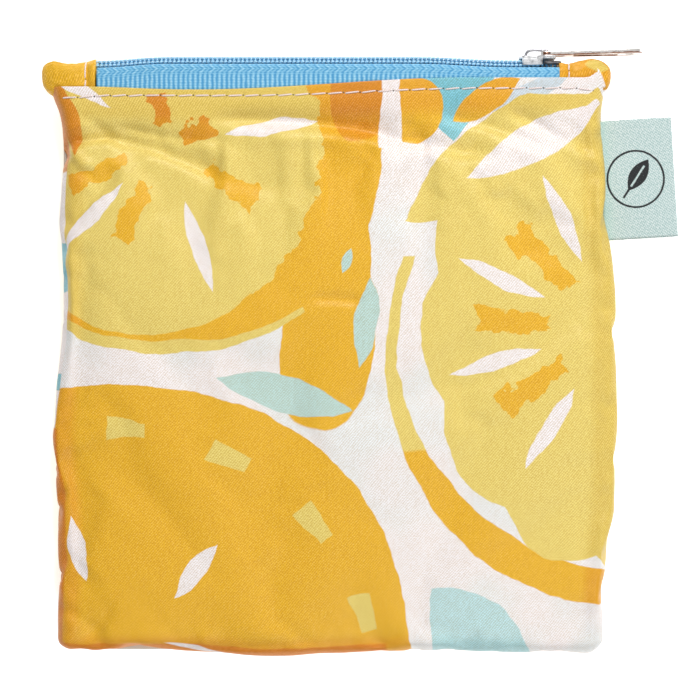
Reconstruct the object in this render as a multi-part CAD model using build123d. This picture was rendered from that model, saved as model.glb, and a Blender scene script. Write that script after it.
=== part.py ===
from build123d import *
import os

# A zipped storage pouch with its folded tote bag packed inside, in millimetres.
# It lies flat: the origin is the middle of the pouch's flat underside, +X runs
# along the zipper towards the closed end, +Y towards the zipper, +Z up.
# The front half (upper side) and the back half mirror each other in MID_Z.

# Pouch shell
THICKNESS = 11.0
MID_Z = THICKNESS / 2
CLOTH = 0.45
SEAM_GAP = 0.15
BOTTOM_Y = -69.0
PANEL_TOP_Y = 62.5
LEFT_X = -63.2
RIGHT_X = 64.2
SIDE_FOOT_Y = -61.0
CORNER_RADIUS = 7.0
EDGE_ROUND = 4.6
EDGE_TOLERANCE = 0.01

# Zipper tapes
TAPE = 0.4
TAPE_WEB_Y = 67.35
TAPE_WEB_INNER = 1.2
TAPE_LEG_OUTER = 4.95
TAPE_LEG_END_Y = 55.5
TAPE_BEND = 0.9
TAPE_HALF_LENGTH = 54.3

# Coil elements, as flat-faced toothed strips
COIL_LOW_Y = 67.85
COIL_HIGH_Y = 69.45
COIL_PITCH = 1.26
TOOTH_LENGTH = 0.5
TOOTH_TIP = -0.5
SPINE_INNER = 0.8
SPINE_OUTER = 1.8
COIL_LEFT_X = -52.6
COIL_CLOSED_X = 44.6
COIL_PARTED_X = 49.4
COIL_RIGHT_X = 52.9
COIL_SPREAD = 1.4

# Stops
BOTTOM_STOP_X = (-54.2, -52.8)
TOP_STOP_X = (53.1, 54.2)
STOP_HIGH_Y = 69.65
STOP_MARGIN = 0.2
BOTTOM_STOP_ROUND = 0.3
TOP_STOP_ROUND = 0.25

# Slider, measured from its own middle
SLIDER_X = 48.4
SLIDER_HALF_LENGTH = 4.25
SLIDER_WIDE = 3.9
SLIDER_NARROW = 2.8
SLIDER_WALL = 0.6
SLIDER_CORNER = 0.9
SLIDER_SHOULDER_X = SLIDER_X + 1.0
BLADE = 0.8
TOP_BLADE_Y = 69.75
BOTTOM_BLADE_Y = 65.95
TOP_LIP_Y = 68.05
BOTTOM_LIP_Y = 67.05
POST_START = 0.9
POST_LENGTH = 3.0
POST_HALF_WIDTH = 0.75
POST_WIDEST_AT = 0.6
POST_BACK_WIDTH = 0.8
CUT_OVERRUN = 1.0

# Bail over the slider
BAIL_START_X = 45.6
BAIL_END_X = 51.8
BAIL_WIDTH = 1.6
BAIL_BAR = 0.7
BAIL_TOP_Y = 72.55
BAIL_ROUND = 1.1

# Pull tab
PIVOT_X = 49.9
PIVOT_Y = 71.2
PIVOT_RADIUS = 0.45
PULL_END_X = 73.1
PULL_THICKNESS = 0.96
PULL_ARM_INNER = 1.15
PULL_ARM_OUTER = 2.0
PULL_ARM_OVERLAP = 1.0
PULL_EYE_END = 5.0
PULL_HALF_WIDTH = 2.9
PULL_TIP_ROUND = 2.2
PULL_HOLE_RADIUS = 1.0
PULL_HOLE_INSET = 2.9

# End tabs folded over both ends of the zipper
TAB_INNER_X = 54.5
TAB_LEFT_TIP_X = -66.9
TAB_RIGHT_TIP_X = 65.1
TAB_LOW_Y = 62.7
TAB_HIGH_Y = 69.6
TAB_ROOT_HALF = 5.4
TAB_TIP_HALF = 1.7
TAB_ROUND = 1.2
TAB_STITCH_INSET = 2.3

# Stitches
STITCH_PITCH = 4.35
STITCH_LENGTH = 3.95
STITCH_WIDTH = 0.55
STITCH_HEIGHT = 0.22
STITCH_GROOVE = 0.25
STITCH_GROOVE_WIDTH = 0.75
TOPSTITCH_Y = 60.6
TOPSTITCH_END_X = 56.5
TAB_STITCH_COUNT = 2
TAB_STITCH_PITCH = 3.2
TAB_STITCH_LENGTH = 2.7

# Seam allowances inside the pouch
ALLOWANCE = 5.0
ALLOWANCE_THICKNESS = 0.35
ALLOWANCE_CLEARANCE = 0.1

# Folded tote
TOTE_LEFT_X = -55.5
TOTE_RIGHT_X = 56.5
TOTE_LOW_Y = -64.5
TOTE_HIGH_Y = 50.0
TOTE_LAYERS = 4
TOTE_PITCH = 2.0
TOTE_SHEET = 0.7
TOTE_SHEET_OFFSET = 0.45
TOTE_BASE_Z = 1.15
HANDLE_WIDTH = 22.0
HANDLE_X = (-29.0, 30.0)
HANDLE_SHEET = 0.3
HANDLE_LOW_Z = 9.0
HANDLE_GAP = 0.3
HANDLE_LOW_Y = -42.0
HANDLE_HIGH_Y = 41.0

# Woven label in the right-hand seam
LABEL_START_X = 64.6
LABEL_END_X = 80.7
LABEL_LOW_Y = 27.4
LABEL_HIGH_Y = 55.6
LABEL_SHEET = 0.35
LABEL_GAP = 0.12


def extruded(sketch, low_z, high_z):
    """A flat sketch as a solid between two heights."""
    return Pos(0, 0, low_z) * extrude(sketch, high_z - low_z)


def block(low, high):
    """A rectangular block between two corners."""
    size = [b - a for a, b in zip(low, high)]
    middle = [(a + b) / 2 for a, b in zip(low, high)]
    return Pos(*middle) * Box(*size)


def mirrored(solid):
    """The same solid on the other side of the pouch's middle plane."""
    return mirror(solid, about=Plane.XY.offset(MID_Z))


def polygon(points):
    """A filled outline with straight sides."""
    return make_face(Polyline(*points, close=True))


def along_y(sketch, low_y, high_y):
    """An outline drawn in X and Z, made solid between two Y values."""
    return extrude(Plane.XZ.offset(-high_y) * sketch, high_y - low_y)


def along_x(sketch, low_x, high_x):
    """An outline drawn in Y and Z, made solid between two X values."""
    return extrude(Plane.YZ.offset(low_x) * sketch, high_x - low_x)


def pouch_outline(inset, top_y):
    """The pouch seen from above, with round lower corners."""
    left = LEFT_X + inset
    right = RIGHT_X - inset
    bottom = BOTTOM_Y + inset
    outline = polygon([(right, top_y), (right, bottom), (left, bottom), (left, top_y)])
    lower_corners = outline.vertices().group_by(Axis.Y)[0]
    return fillet(lower_corners, CORNER_RADIUS - inset)


def half_form(inset, top_y, low_z):
    """A closed form of the pouch's upper half, inset from its outside."""
    roof = THICKNESS - inset
    form = extruded(pouch_outline(inset, top_y), low_z, roof)
    rim = form.edges().filter_by_position(Axis.Z, roof - EDGE_TOLERANCE, roof + EDGE_TOLERANCE)
    top = rim.sort_by(Axis.Y)[-1]
    rim = [e for e in rim if e is not top]
    return fillet(rim, EDGE_ROUND - inset)


def panel():
    """The upper cloth panel as a thin tray, open below and at the zipper."""
    outside = half_form(0, PANEL_TOP_Y, MID_Z + SEAM_GAP)
    inside = half_form(CLOTH, PANEL_TOP_Y + CLOTH, MID_Z)
    return outside - inside - topstitch_groove()


def topstitch_groove():
    """The line that the topstitching sinks into the upper panel."""
    length = 2 * TOPSTITCH_END_X + STITCH_PITCH
    groove = Box(length, STITCH_GROOVE_WIDTH, 2 * STITCH_GROOVE)
    return Pos(0, TOPSTITCH_Y, THICKNESS) * groove


def topstitches():
    """A row of thread stitches along the panel's folded edge."""
    count = int(2 * TOPSTITCH_END_X / STITCH_PITCH) + 1
    first = -(count - 1) * STITCH_PITCH / 2
    z = THICKNESS - STITCH_HEIGHT / 2
    stitch = Box(STITCH_LENGTH, STITCH_WIDTH, STITCH_HEIGHT)
    return [Pos(first + n * STITCH_PITCH, TOPSTITCH_Y, z) * stitch for n in range(count)]


def tape():
    """The upper zipper tape: a web beside the coil and a leg under the panel."""
    web_top = TAPE_WEB_Y + TAPE
    web_low = TAPE_WEB_Y
    inner = MID_Z + TAPE_LEG_OUTER - TAPE
    outer = MID_Z + TAPE_LEG_OUTER
    start = MID_Z + TAPE_WEB_INNER
    bend = TAPE_BEND
    tight = TAPE_BEND - TAPE
    profile = make_face([
        Line((web_top, start), (web_top, outer - bend)),
        RadiusArc((web_top, outer - bend), (web_top - bend, outer), -bend),
        Line((web_top - bend, outer), (TAPE_LEG_END_Y, outer)),
        Line((TAPE_LEG_END_Y, outer), (TAPE_LEG_END_Y, inner)),
        Line((TAPE_LEG_END_Y, inner), (web_low - tight, inner)),
        RadiusArc((web_low - tight, inner), (web_low, inner - tight), tight),
        Line((web_low, inner - tight), (web_low, start)),
        Line((web_low, start), (web_top, start)),
    ])
    return along_x(profile, -TAPE_HALF_LENGTH, TAPE_HALF_LENGTH)


def coil(side, phase):
    """One toothed coil strip, parted round the slider's post at its closed end.

    side is +1 for the upper strip and -1 for the lower one.
    """
    def z(offset):
        return MID_Z + side * offset

    spine = polygon([
        (COIL_LEFT_X, z(SPINE_INNER)),
        (COIL_CLOSED_X, z(SPINE_INNER)),
        (COIL_PARTED_X, z(SPINE_INNER + COIL_SPREAD)),
        (COIL_RIGHT_X, z(SPINE_INNER + COIL_SPREAD)),
        (COIL_RIGHT_X, z(SPINE_OUTER + COIL_SPREAD)),
        (COIL_PARTED_X, z(SPINE_OUTER + COIL_SPREAD)),
        (COIL_CLOSED_X, z(SPINE_OUTER)),
        (COIL_LEFT_X, z(SPINE_OUTER)),
    ])
    count = int((COIL_CLOSED_X - COIL_LEFT_X) / COIL_PITCH) - 1
    reach = SPINE_OUTER - TOOTH_TIP
    middle = z((SPINE_OUTER + TOOTH_TIP) / 2)
    tooth = Rectangle(TOOTH_LENGTH, reach)
    teeth = [
        Pos(COIL_LEFT_X + (n + 0.5 + phase) * COIL_PITCH, middle) * tooth
        for n in range(count)
    ]
    comb = spine + teeth
    return along_y(comb, COIL_LOW_Y, COIL_HIGH_Y)


def bottom_stop():
    """The clamp across both coils at the end where the zipper starts."""
    half = SPINE_OUTER + STOP_MARGIN
    low = (BOTTOM_STOP_X[0], COIL_LOW_Y, MID_Z - half)
    high = (BOTTOM_STOP_X[1], STOP_HIGH_Y, MID_Z + half)
    stop = block(low, high)
    return fillet(stop.edges().filter_by(Axis.X), BOTTOM_STOP_ROUND)


def top_stop():
    """The small clamp on the upper coil at the zipper's closed end."""
    inner = MID_Z + SPINE_INNER + COIL_SPREAD
    outer = MID_Z + SPINE_OUTER + COIL_SPREAD + STOP_MARGIN
    low = (TOP_STOP_X[0], COIL_LOW_Y, inner)
    high = (TOP_STOP_X[1], STOP_HIGH_Y, outer)
    stop = block(low, high)
    return fillet(stop.edges().filter_by(Axis.X), TOP_STOP_ROUND)


def slider_outline(inset):
    """The slider's blade in X and Z: wide where the coils part, round and narrow behind."""
    wide_x = SLIDER_X + SLIDER_HALF_LENGTH
    narrow_x = SLIDER_X - SLIDER_HALF_LENGTH
    wide = SLIDER_WIDE - inset
    narrow = SLIDER_NARROW - inset
    outline = polygon([
        (narrow_x, MID_Z - narrow),
        (SLIDER_SHOULDER_X, MID_Z - wide),
        (wide_x, MID_Z - wide),
        (wide_x, MID_Z + wide),
        (SLIDER_SHOULDER_X, MID_Z + wide),
        (narrow_x, MID_Z + narrow),
    ])
    return fillet(outline.vertices(), SLIDER_CORNER)


def slider_channel():
    """The space that the coils run through, open at both ends."""
    wide = SLIDER_WIDE - SLIDER_WALL
    narrow = SLIDER_NARROW - SLIDER_WALL
    over = SLIDER_HALF_LENGTH + CUT_OVERRUN
    return polygon([
        (SLIDER_X - over, MID_Z - narrow),
        (SLIDER_X - SLIDER_HALF_LENGTH, MID_Z - narrow),
        (SLIDER_SHOULDER_X, MID_Z - wide),
        (SLIDER_X + over, MID_Z - wide),
        (SLIDER_X + over, MID_Z + wide),
        (SLIDER_SHOULDER_X, MID_Z + wide),
        (SLIDER_X - SLIDER_HALF_LENGTH, MID_Z + narrow),
        (SLIDER_X - over, MID_Z + narrow),
    ])


def slider_body():
    """Two blades with lips along their sides, joined by the wedge-shaped post."""
    outline = slider_outline(0)
    channel = slider_channel()
    top_blade = along_y(outline, TOP_LIP_Y, TOP_BLADE_Y + BLADE)
    top_blade = top_blade - along_y(channel, TOP_LIP_Y - CUT_OVERRUN, TOP_BLADE_Y)
    bottom_blade = along_y(outline, BOTTOM_BLADE_Y, BOTTOM_LIP_Y)
    groove = along_y(channel, BOTTOM_BLADE_Y + BLADE, BOTTOM_LIP_Y + CUT_OVERRUN)
    bottom_blade = bottom_blade - groove
    start = SLIDER_X + POST_START
    widest_x = start + POST_LENGTH * POST_WIDEST_AT
    back_x = start + POST_LENGTH
    back_half = POST_HALF_WIDTH * POST_BACK_WIDTH
    post = polygon([
        (start, MID_Z),
        (widest_x, MID_Z - POST_HALF_WIDTH),
        (back_x, MID_Z - back_half),
        (back_x, MID_Z + back_half),
        (widest_x, MID_Z + POST_HALF_WIDTH),
    ])
    post = along_y(post, BOTTOM_BLADE_Y + BLADE / 2, TOP_BLADE_Y + BLADE / 2)
    return top_blade + post + bottom_blade


def slider_bail():
    """The bridge over the slider that holds the pull tab."""
    foot_y = TOP_BLADE_Y + BLADE
    outside = polygon([
        (BAIL_START_X, foot_y),
        (BAIL_END_X, foot_y),
        (BAIL_END_X, BAIL_TOP_Y),
        (BAIL_START_X, BAIL_TOP_Y),
    ])
    high = outside.vertices().group_by(Axis.Y)[-1]
    outside = fillet(high, BAIL_ROUND)
    inside = polygon([
        (BAIL_START_X + BAIL_BAR, foot_y),
        (BAIL_END_X - BAIL_BAR, foot_y),
        (BAIL_END_X - BAIL_BAR, BAIL_TOP_Y - BAIL_BAR),
        (BAIL_START_X + BAIL_BAR, BAIL_TOP_Y - BAIL_BAR),
    ])
    high = inside.vertices().group_by(Axis.Y)[-1]
    inside = fillet(high, BAIL_ROUND - BAIL_BAR)
    half = BAIL_WIDTH / 2
    return extruded(outside - inside, MID_Z - half, MID_Z + half)


def pull_tab():
    """A flat tab with a long eye round the bail and a hole near its tip."""
    eye_x = PIVOT_X + PULL_EYE_END
    middle_x = (eye_x + PULL_END_X) / 2
    tab = Pos(middle_x, MID_Z) * Rectangle(PULL_END_X - eye_x, 2 * PULL_HALF_WIDTH)
    tip = tab.vertices().group_by(Axis.X)[-1]
    tab = fillet(tip, PULL_TIP_ROUND)
    root = tab.vertices().group_by(Axis.X)[0]
    tab = fillet(root, PULL_HALF_WIDTH - PULL_ARM_OUTER)
    arm_middle = (PULL_ARM_INNER + PULL_ARM_OUTER) / 2
    arm_end_x = eye_x + PULL_ARM_OVERLAP
    arm = Rectangle(arm_end_x - PIVOT_X, PULL_ARM_OUTER - PULL_ARM_INNER)
    arm_x = (PIVOT_X + arm_end_x) / 2
    arms = [Pos(arm_x, MID_Z + side * arm_middle) * arm for side in (-1, 1)]
    hole = Pos(PULL_END_X - PULL_HOLE_INSET, MID_Z) * Circle(PULL_HOLE_RADIUS)
    half = PULL_THICKNESS / 2
    plate = along_y(tab + arms - hole, PIVOT_Y - half, PIVOT_Y + half)
    bar = Pos(PIVOT_X, PIVOT_Y, MID_Z) * Cylinder(PIVOT_RADIUS, 2 * PULL_ARM_OUTER)
    knuckle = Cylinder(half, PULL_ARM_OUTER - PULL_ARM_INNER)
    knuckles = [Pos(PIVOT_X, PIVOT_Y, MID_Z + side * arm_middle) * knuckle for side in (-1, 1)]
    return plate + bar + knuckles


def tab_outline(inset, root_x, tip_x):
    """An end tab in X and Z, wide at the zipper and narrow at its tip."""
    out = 1 if tip_x > root_x else -1
    root_half = TAB_ROOT_HALF - inset
    tip_half = TAB_TIP_HALF - inset
    end_x = tip_x - out * inset
    shape = polygon([
        (root_x, MID_Z - root_half),
        (end_x, MID_Z - tip_half),
        (end_x, MID_Z + tip_half),
        (root_x, MID_Z + root_half),
    ])
    columns = shape.vertices().group_by(Axis.X)
    tip = columns[-1] if out > 0 else columns[0]
    return fillet(tip, TAB_ROUND - inset)


def end_tab(side, tip_x):
    """Cloth folded over one end of the zipper, open towards the coil and below."""
    root_x = side * TAB_INNER_X
    outside = along_y(tab_outline(0, root_x, tip_x), TAB_LOW_Y, TAB_HIGH_Y)
    hollow = tab_outline(CLOTH, root_x - side * CLOTH, tip_x)
    inside = along_y(hollow, TAB_LOW_Y - CLOTH, TAB_HIGH_Y - CLOTH)
    return outside - inside


def tab_stitches(side, tip_x):
    """Short stitches down both faces of an end tab, lying on its cloth."""
    root_x = side * TAB_INNER_X
    x = root_x + side * TAB_STITCH_INSET
    slope = (TAB_TIP_HALF - TAB_ROOT_HALF) / abs(tip_x - root_x)
    face = TAB_ROOT_HALF + slope * TAB_STITCH_INSET
    lift = face + STITCH_HEIGHT / 2 + STITCH_WIDTH * abs(slope)
    first = (TAB_LOW_Y + TAB_HIGH_Y - (TAB_STITCH_COUNT - 1) * TAB_STITCH_PITCH) / 2
    stitch = Box(STITCH_WIDTH, TAB_STITCH_LENGTH, STITCH_HEIGHT)
    rows = [first + n * TAB_STITCH_PITCH for n in range(TAB_STITCH_COUNT)]
    upper = [Pos(x, y, MID_Z + lift) * stitch for y in rows]
    lower = [Pos(x, y, MID_Z - lift) * stitch for y in rows]
    return upper + lower


def side_allowance(side):
    """The doubled cloth edge sewn inside one side seam."""
    wall = LEFT_X if side < 0 else RIGHT_X
    outer = wall - side * (CLOTH + ALLOWANCE_CLEARANCE)
    inner = outer - side * ALLOWANCE
    top = MID_Z - SEAM_GAP
    low = (min(inner, outer), SIDE_FOOT_Y, top - ALLOWANCE_THICKNESS)
    high = (max(inner, outer), PANEL_TOP_Y - ALLOWANCE, top)
    return block(low, high)


def bottom_allowance():
    """The doubled cloth edge sewn inside the bottom seam."""
    top = MID_Z - SEAM_GAP
    low_y = BOTTOM_Y + CLOTH + ALLOWANCE_CLEARANCE
    low = (LEFT_X + CORNER_RADIUS, low_y, top - ALLOWANCE_THICKNESS)
    high = (RIGHT_X - CORNER_RADIUS, TOTE_LOW_Y - ALLOWANCE_CLEARANCE, top)
    return block(low, high)


def turn(y, z, radius, thickness, side):
    """A half ring that joins two folded layers, opening away from side."""
    ring = Circle(radius + thickness / 2)
    if radius > thickness / 2:
        ring = ring - Circle(radius - thickness / 2)
    reach = 2 * radius + thickness
    half = Pos(side * reach / 2, 0) * Rectangle(reach, 2 * reach)
    return Pos(y, z) * (ring & half)


def tote_sheet(offset):
    """One side of the tote, folded to and fro; offset keeps the two sides apart."""
    radius = TOTE_PITCH / 2
    low_y = TOTE_LOW_Y + TOTE_PITCH
    high_y = TOTE_HIGH_Y - TOTE_PITCH
    strip = Rectangle(high_y - low_y, TOTE_SHEET)
    first_z = TOTE_BASE_Z + TOTE_SHEET_OFFSET + TOTE_SHEET / 2
    profile = None
    for n in range(TOTE_LAYERS):
        way = 1 if n % 2 == 0 else -1
        z = first_z + n * TOTE_PITCH
        layer = Pos((low_y + high_y) / 2, z + way * offset) * strip
        profile = layer if profile is None else profile + layer
        if n < TOTE_LAYERS - 1:
            end_y = high_y if way > 0 else low_y
            profile = profile + turn(end_y, z + radius, radius - way * offset, TOTE_SHEET, way)
    return along_x(profile, TOTE_LEFT_X, TOTE_RIGHT_X)


def handle(middle_x):
    """One carrying strap, folded flat in two over the tote."""
    radius = (HANDLE_SHEET + HANDLE_GAP) / 2
    low_z = HANDLE_LOW_Z + HANDLE_SHEET / 2
    leg = Rectangle(HANDLE_HIGH_Y - HANDLE_LOW_Y, HANDLE_SHEET)
    middle_y = (HANDLE_LOW_Y + HANDLE_HIGH_Y) / 2
    profile = Pos(middle_y, low_z) * leg
    profile = profile + Pos(middle_y, low_z + 2 * radius) * leg
    profile = profile + turn(HANDLE_LOW_Y, low_z + radius, radius, HANDLE_SHEET, -1)
    half = HANDLE_WIDTH / 2
    return along_x(profile, middle_x - half, middle_x + half)


def side_label():
    """A woven strip folded at its outer end, standing out of the side seam."""
    radius = (LABEL_SHEET + LABEL_GAP) / 2
    fold_x = LABEL_END_X - radius - LABEL_SHEET / 2
    middle_x = (LABEL_START_X + fold_x) / 2
    leg = Rectangle(fold_x - LABEL_START_X, LABEL_SHEET)
    profile = Pos(middle_x, MID_Z + radius) * leg
    profile = profile + Pos(middle_x, MID_Z - radius) * leg
    profile = profile + turn(fold_x, MID_Z, radius, LABEL_SHEET, 1)
    return along_y(profile, LABEL_LOW_Y, LABEL_HIGH_Y)


def build():
    """Every node of the assembly, by name."""
    upper_panel = panel()
    upper_stitches = topstitches()
    upper_tape = tape()
    upper_stop = top_stop()
    nodes = {
        "pouch_front_panel": upper_panel,
        "pouch_back_panel": mirrored(upper_panel),
        "topstitch_front": Compound(children=upper_stitches),
        "topstitch_back": Compound(children=[mirrored(s) for s in upper_stitches]),
        "zipper_tape_front": upper_tape,
        "zipper_tape_back": mirrored(upper_tape),
        "zipper_coil_front": coil(1, 0),
        "zipper_coil_back": coil(-1, 0.5),
        "zipper_bottom_stop": bottom_stop(),
        "zipper_top_stop_front": upper_stop,
        "zipper_top_stop_back": mirrored(upper_stop),
        "slider_body": slider_body(),
        "slider_bail": slider_bail(),
        "pull_tab": pull_tab(),
        "end_tab_left": end_tab(-1, TAB_LEFT_TIP_X),
        "end_tab_right": end_tab(1, TAB_RIGHT_TIP_X),
        "tab_stitch_left": Compound(children=tab_stitches(-1, TAB_LEFT_TIP_X)),
        "tab_stitch_right": Compound(children=tab_stitches(1, TAB_RIGHT_TIP_X)),
        "seam_allowance_left": side_allowance(-1),
        "seam_allowance_right": side_allowance(1),
        "seam_allowance_bottom": bottom_allowance(),
        "tote_front_sheet": tote_sheet(TOTE_SHEET_OFFSET),
        "tote_back_sheet": tote_sheet(-TOTE_SHEET_OFFSET),
        "tote_handle_front": handle(HANDLE_X[0]),
        "tote_handle_back": handle(HANDLE_X[1]),
        "side_label": side_label(),
    }
    return nodes


os.makedirs("parts", exist_ok=True)
for name, solid in build().items():
    export_step(solid, f"parts/{name}.step")
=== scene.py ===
import math
import random

import bpy
import numpy as np
from mathutils import Matrix, Vector, noise
from mathutils.bvhtree import BVHTree


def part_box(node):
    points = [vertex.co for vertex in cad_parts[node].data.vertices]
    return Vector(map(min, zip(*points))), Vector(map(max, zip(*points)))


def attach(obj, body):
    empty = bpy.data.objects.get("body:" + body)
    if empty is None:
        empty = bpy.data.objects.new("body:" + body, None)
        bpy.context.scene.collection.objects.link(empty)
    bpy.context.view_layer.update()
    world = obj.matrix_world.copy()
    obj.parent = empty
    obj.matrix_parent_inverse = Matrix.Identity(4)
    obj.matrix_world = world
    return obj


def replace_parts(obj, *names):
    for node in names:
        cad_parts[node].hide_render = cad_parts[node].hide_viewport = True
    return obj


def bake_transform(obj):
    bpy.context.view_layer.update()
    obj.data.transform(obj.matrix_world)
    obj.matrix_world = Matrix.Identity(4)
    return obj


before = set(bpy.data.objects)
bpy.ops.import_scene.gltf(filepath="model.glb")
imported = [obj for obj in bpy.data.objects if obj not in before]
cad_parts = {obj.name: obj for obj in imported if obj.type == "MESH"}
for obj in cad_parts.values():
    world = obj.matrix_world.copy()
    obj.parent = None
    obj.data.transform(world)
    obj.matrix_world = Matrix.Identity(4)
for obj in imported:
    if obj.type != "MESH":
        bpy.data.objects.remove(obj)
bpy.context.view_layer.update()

# A flat zip pouch of printed cloth with a folded tote inside, in the frame of the CAD part.
# Lengths in this script are millimetres. Meshes are scaled to metres as they are made.
MM = 0.001
random.seed(7)


def box_mm(node):
    """Lowest and highest corner of a CAD node, in millimetres."""
    return [np.array(corner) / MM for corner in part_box(node)]


# ---------------------------------------------------------------- places from the frame
front_lo, front_hi = box_mm("pouch_front_panel")
back_hi = box_mm("pouch_back_panel")[1]
tape_lo, tape_hi = box_mm("zipper_tape_front")
coil_lo, coil_hi = box_mm("zipper_coil_front")
body_lo, body_hi = box_mm("slider_body")
bail_lo, bail_hi = box_mm("slider_bail")
pull_lo, pull_hi = box_mm("pull_tab")
label_lo, label_hi = box_mm("side_label")
MID = (front_lo[2] + back_hi[2]) / 2
HALF = front_hi[2] - MID
LEFT, RIGHT, BOTTOM, MOUTH = front_lo[0], front_hi[0], front_lo[1], front_hi[1]
TAPE_OUT = tape_hi[2] - MID
CHAIN_Y = (coil_lo[1] + coil_hi[1]) / 2
SLIDER_X = (body_lo[0] + body_hi[0]) / 2
PIVOT_Y = (pull_lo[1] + pull_hi[1]) / 2
# thicknesses of the panels and of the other sheets
CLOTH = 0.18
TOTE_CLOTH, STRAP_CLOTH, LABEL_CLOTH, SEAM_CLOTH = 0.2, 0.16, 0.16, 0.28
# the radius and length of the panels' rounded edges
EDGE_R = 3.6
EDGE_ARC = math.pi / 2 * (EDGE_R + HALF) / 2

# ---------------------------------------------------------------- camera, light and floor
VIEW_CENTRE = (4.6, 1.8)
VIEW_WIDTH = 162.4
LENS, SENSOR = 100.0, 36.0
CAMERA_HEIGHT = VIEW_WIDTH * LENS / SENSOR + HALF


def placed(name, data):
    """A new object that holds some data, linked into the scene."""
    made = bpy.data.objects.new(name, data)
    bpy.context.scene.collection.objects.link(made)
    return made


def add_camera():
    data = bpy.data.cameras.new("camera")
    data.lens, data.sensor_width = LENS, SENSOR
    data.clip_start, data.clip_end = 0.01, 10
    camera = placed("camera", data)
    camera.location = Vector((*VIEW_CENTRE, MID + CAMERA_HEIGHT)) * MM
    bpy.context.scene.camera = camera


def add_light(name, place, size, watts):
    data = bpy.data.lights.new(name, "AREA")
    data.shape, data.size, data.energy = "DISK", size, watts
    light = placed(name, data)
    light.location = place
    light.rotation_mode = "QUATERNION"
    light.rotation_quaternion = (-Vector(place)).to_track_quat("-Z", "Y")


def add_world(strength):
    world = bpy.data.worlds.new("studio")
    world.use_nodes = True
    background = world.node_tree.nodes["Background"]
    background.inputs["Color"].default_value = (1, 1, 1, 1)
    background.inputs["Strength"].default_value = strength
    bpy.context.scene.world = world


add_camera()
add_world(strength=0.34)
# the lights' places and sizes are metres
add_light("key", place=(0.10, 0.46, 0.44), size=0.16, watts=3.05)
add_light("fill", place=(0.20, -0.32, 0.46), size=0.4, watts=1.45)
bpy.context.scene.view_settings.view_transform = "Standard"
bpy.context.scene.view_settings.look = "None"


# ---------------------------------------------------------------- node graphs
class Value:
    """A number in a node graph, which takes the usual arithmetic."""

    def __init__(self, graph, socket):
        self.graph, self.socket = graph, socket

    def __add__(self, other):
        return self.graph.math("ADD", self, other)

    def __mul__(self, other):
        return self.graph.math("MULTIPLY", self, other)

    def __sub__(self, other):
        return self.graph.math("SUBTRACT", self, other)

    def __rsub__(self, other):
        return self.graph.math("SUBTRACT", other, self)

    def __abs__(self):
        return self.graph.math("ABSOLUTE", self)


class Graph:
    """Short ways to add nodes to a material's or a group's tree."""

    def __init__(self, tree):
        self.tree = tree

    def put(self, socket, value):
        value = getattr(value, "socket", value)
        if isinstance(value, bpy.types.NodeSocket):
            self.tree.links.new(value, socket)
        else:
            socket.default_value = value

    def node(self, kind, settings=None, values=(), **inputs):
        made = self.tree.nodes.new("ShaderNode" + kind)
        for key, value in (settings or {}).items():
            setattr(made, key, value)
        for socket, value in zip(made.inputs, values):
            self.put(socket, value)
        for key, value in inputs.items():
            self.put(made.inputs[key], value)
        return made

    def math(self, operation, *values):
        return Value(self, self.node("Math", {"operation": operation}, values).outputs[0])

    def vector(self, operation, *values):
        return self.node("VectorMath", {"operation": operation}, values).outputs["Vector"]

    def dot(self, a, x, y):
        made = self.node("VectorMath", {"operation": "DOT_PRODUCT"}, (a, (x, y, 0)))
        return Value(self, made.outputs["Value"])

    def mix(self, factor, a, b, blend="MIX"):
        made = self.node("Mix", {"data_type": "RGBA", "blend_type": blend})
        for number, value in ((0, factor), (6, a), (7, b)):
            self.put(made.inputs[number], value)
        return made.outputs[2]

    def smooth(self, value, low, high, out_low=0.0, out_high=1.0):
        values = (value, low, high, out_low, out_high)
        return Value(self, self.node("MapRange", {"interpolation_type": "SMOOTHSTEP"}, values).outputs[0])

    def noise(self, place, scale, detail=2.0):
        return Value(self, self.node("TexNoise", Vector=place, Scale=scale, Detail=detail).outputs[0])

    def jitter(self, place, scale, reach, detail=2.0, middle=0.0, onto=None):
        """A place moved about by smooth noise, as far as reach along X and Y.

        The noise is read at the place. It moves another one instead when onto is given.
        """
        push = self.node("TexNoise", Vector=place, Scale=scale, Detail=detail).outputs["Color"]
        push = self.vector("SUBTRACT", push, (middle, middle, middle)) if middle else push
        return self.vector("MULTIPLY_ADD", push, (*reach, 0), place if onto is None else onto)

    def weave(self, place, pitch, degrees):
        """Threads that run at an angle across the cloth, from 0 between them to 1 on them."""
        turns, angle = 2 * math.pi / pitch, math.radians(degrees)
        wave = self.dot(place, math.cos(angle) * turns, math.sin(angle) * turns)
        return self.math("SINE", wave) * 0.5 + 0.5

    def flat(self):
        """The point's place on the flat cloth, in millimetres."""
        return self.node("Attribute", {"attribute_name": "flat"}).outputs["Vector"]

    def split(self, place):
        return [Value(self, part) for part in self.node("SeparateXYZ", Vector=place).outputs]

    def least(self, values):
        """The smallest of some values, which is where the nearest of some shapes begins."""
        total = values[0]
        for value in values[1:]:
            total = self.math("MINIMUM", total, value)
        return total

    def shaded(self, colour, height, depth, strength, roughness=None):
        """Puts a colour and a relief, its depth in millimetres, on the shader, and gives the material."""
        self.put(self.shader.inputs["Base Color"], colour)
        if roughness:
            self.put(self.shader.inputs["Roughness"], roughness)
        relief = self.node("Bump", Strength=strength, Distance=depth * MM, Height=height)
        self.put(self.shader.inputs["Normal"], relief.outputs[0])
        return self.material


def srgb(*display):
    """A colour given as 0 to 255 display values, as the linear colour that nodes use."""
    linear = [c / 255 for c in display]
    linear = [c / 12.92 if c <= 0.04045 else ((c + 0.055) / 1.055) ** 2.4 for c in linear]
    return (*linear, 1.0)


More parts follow.
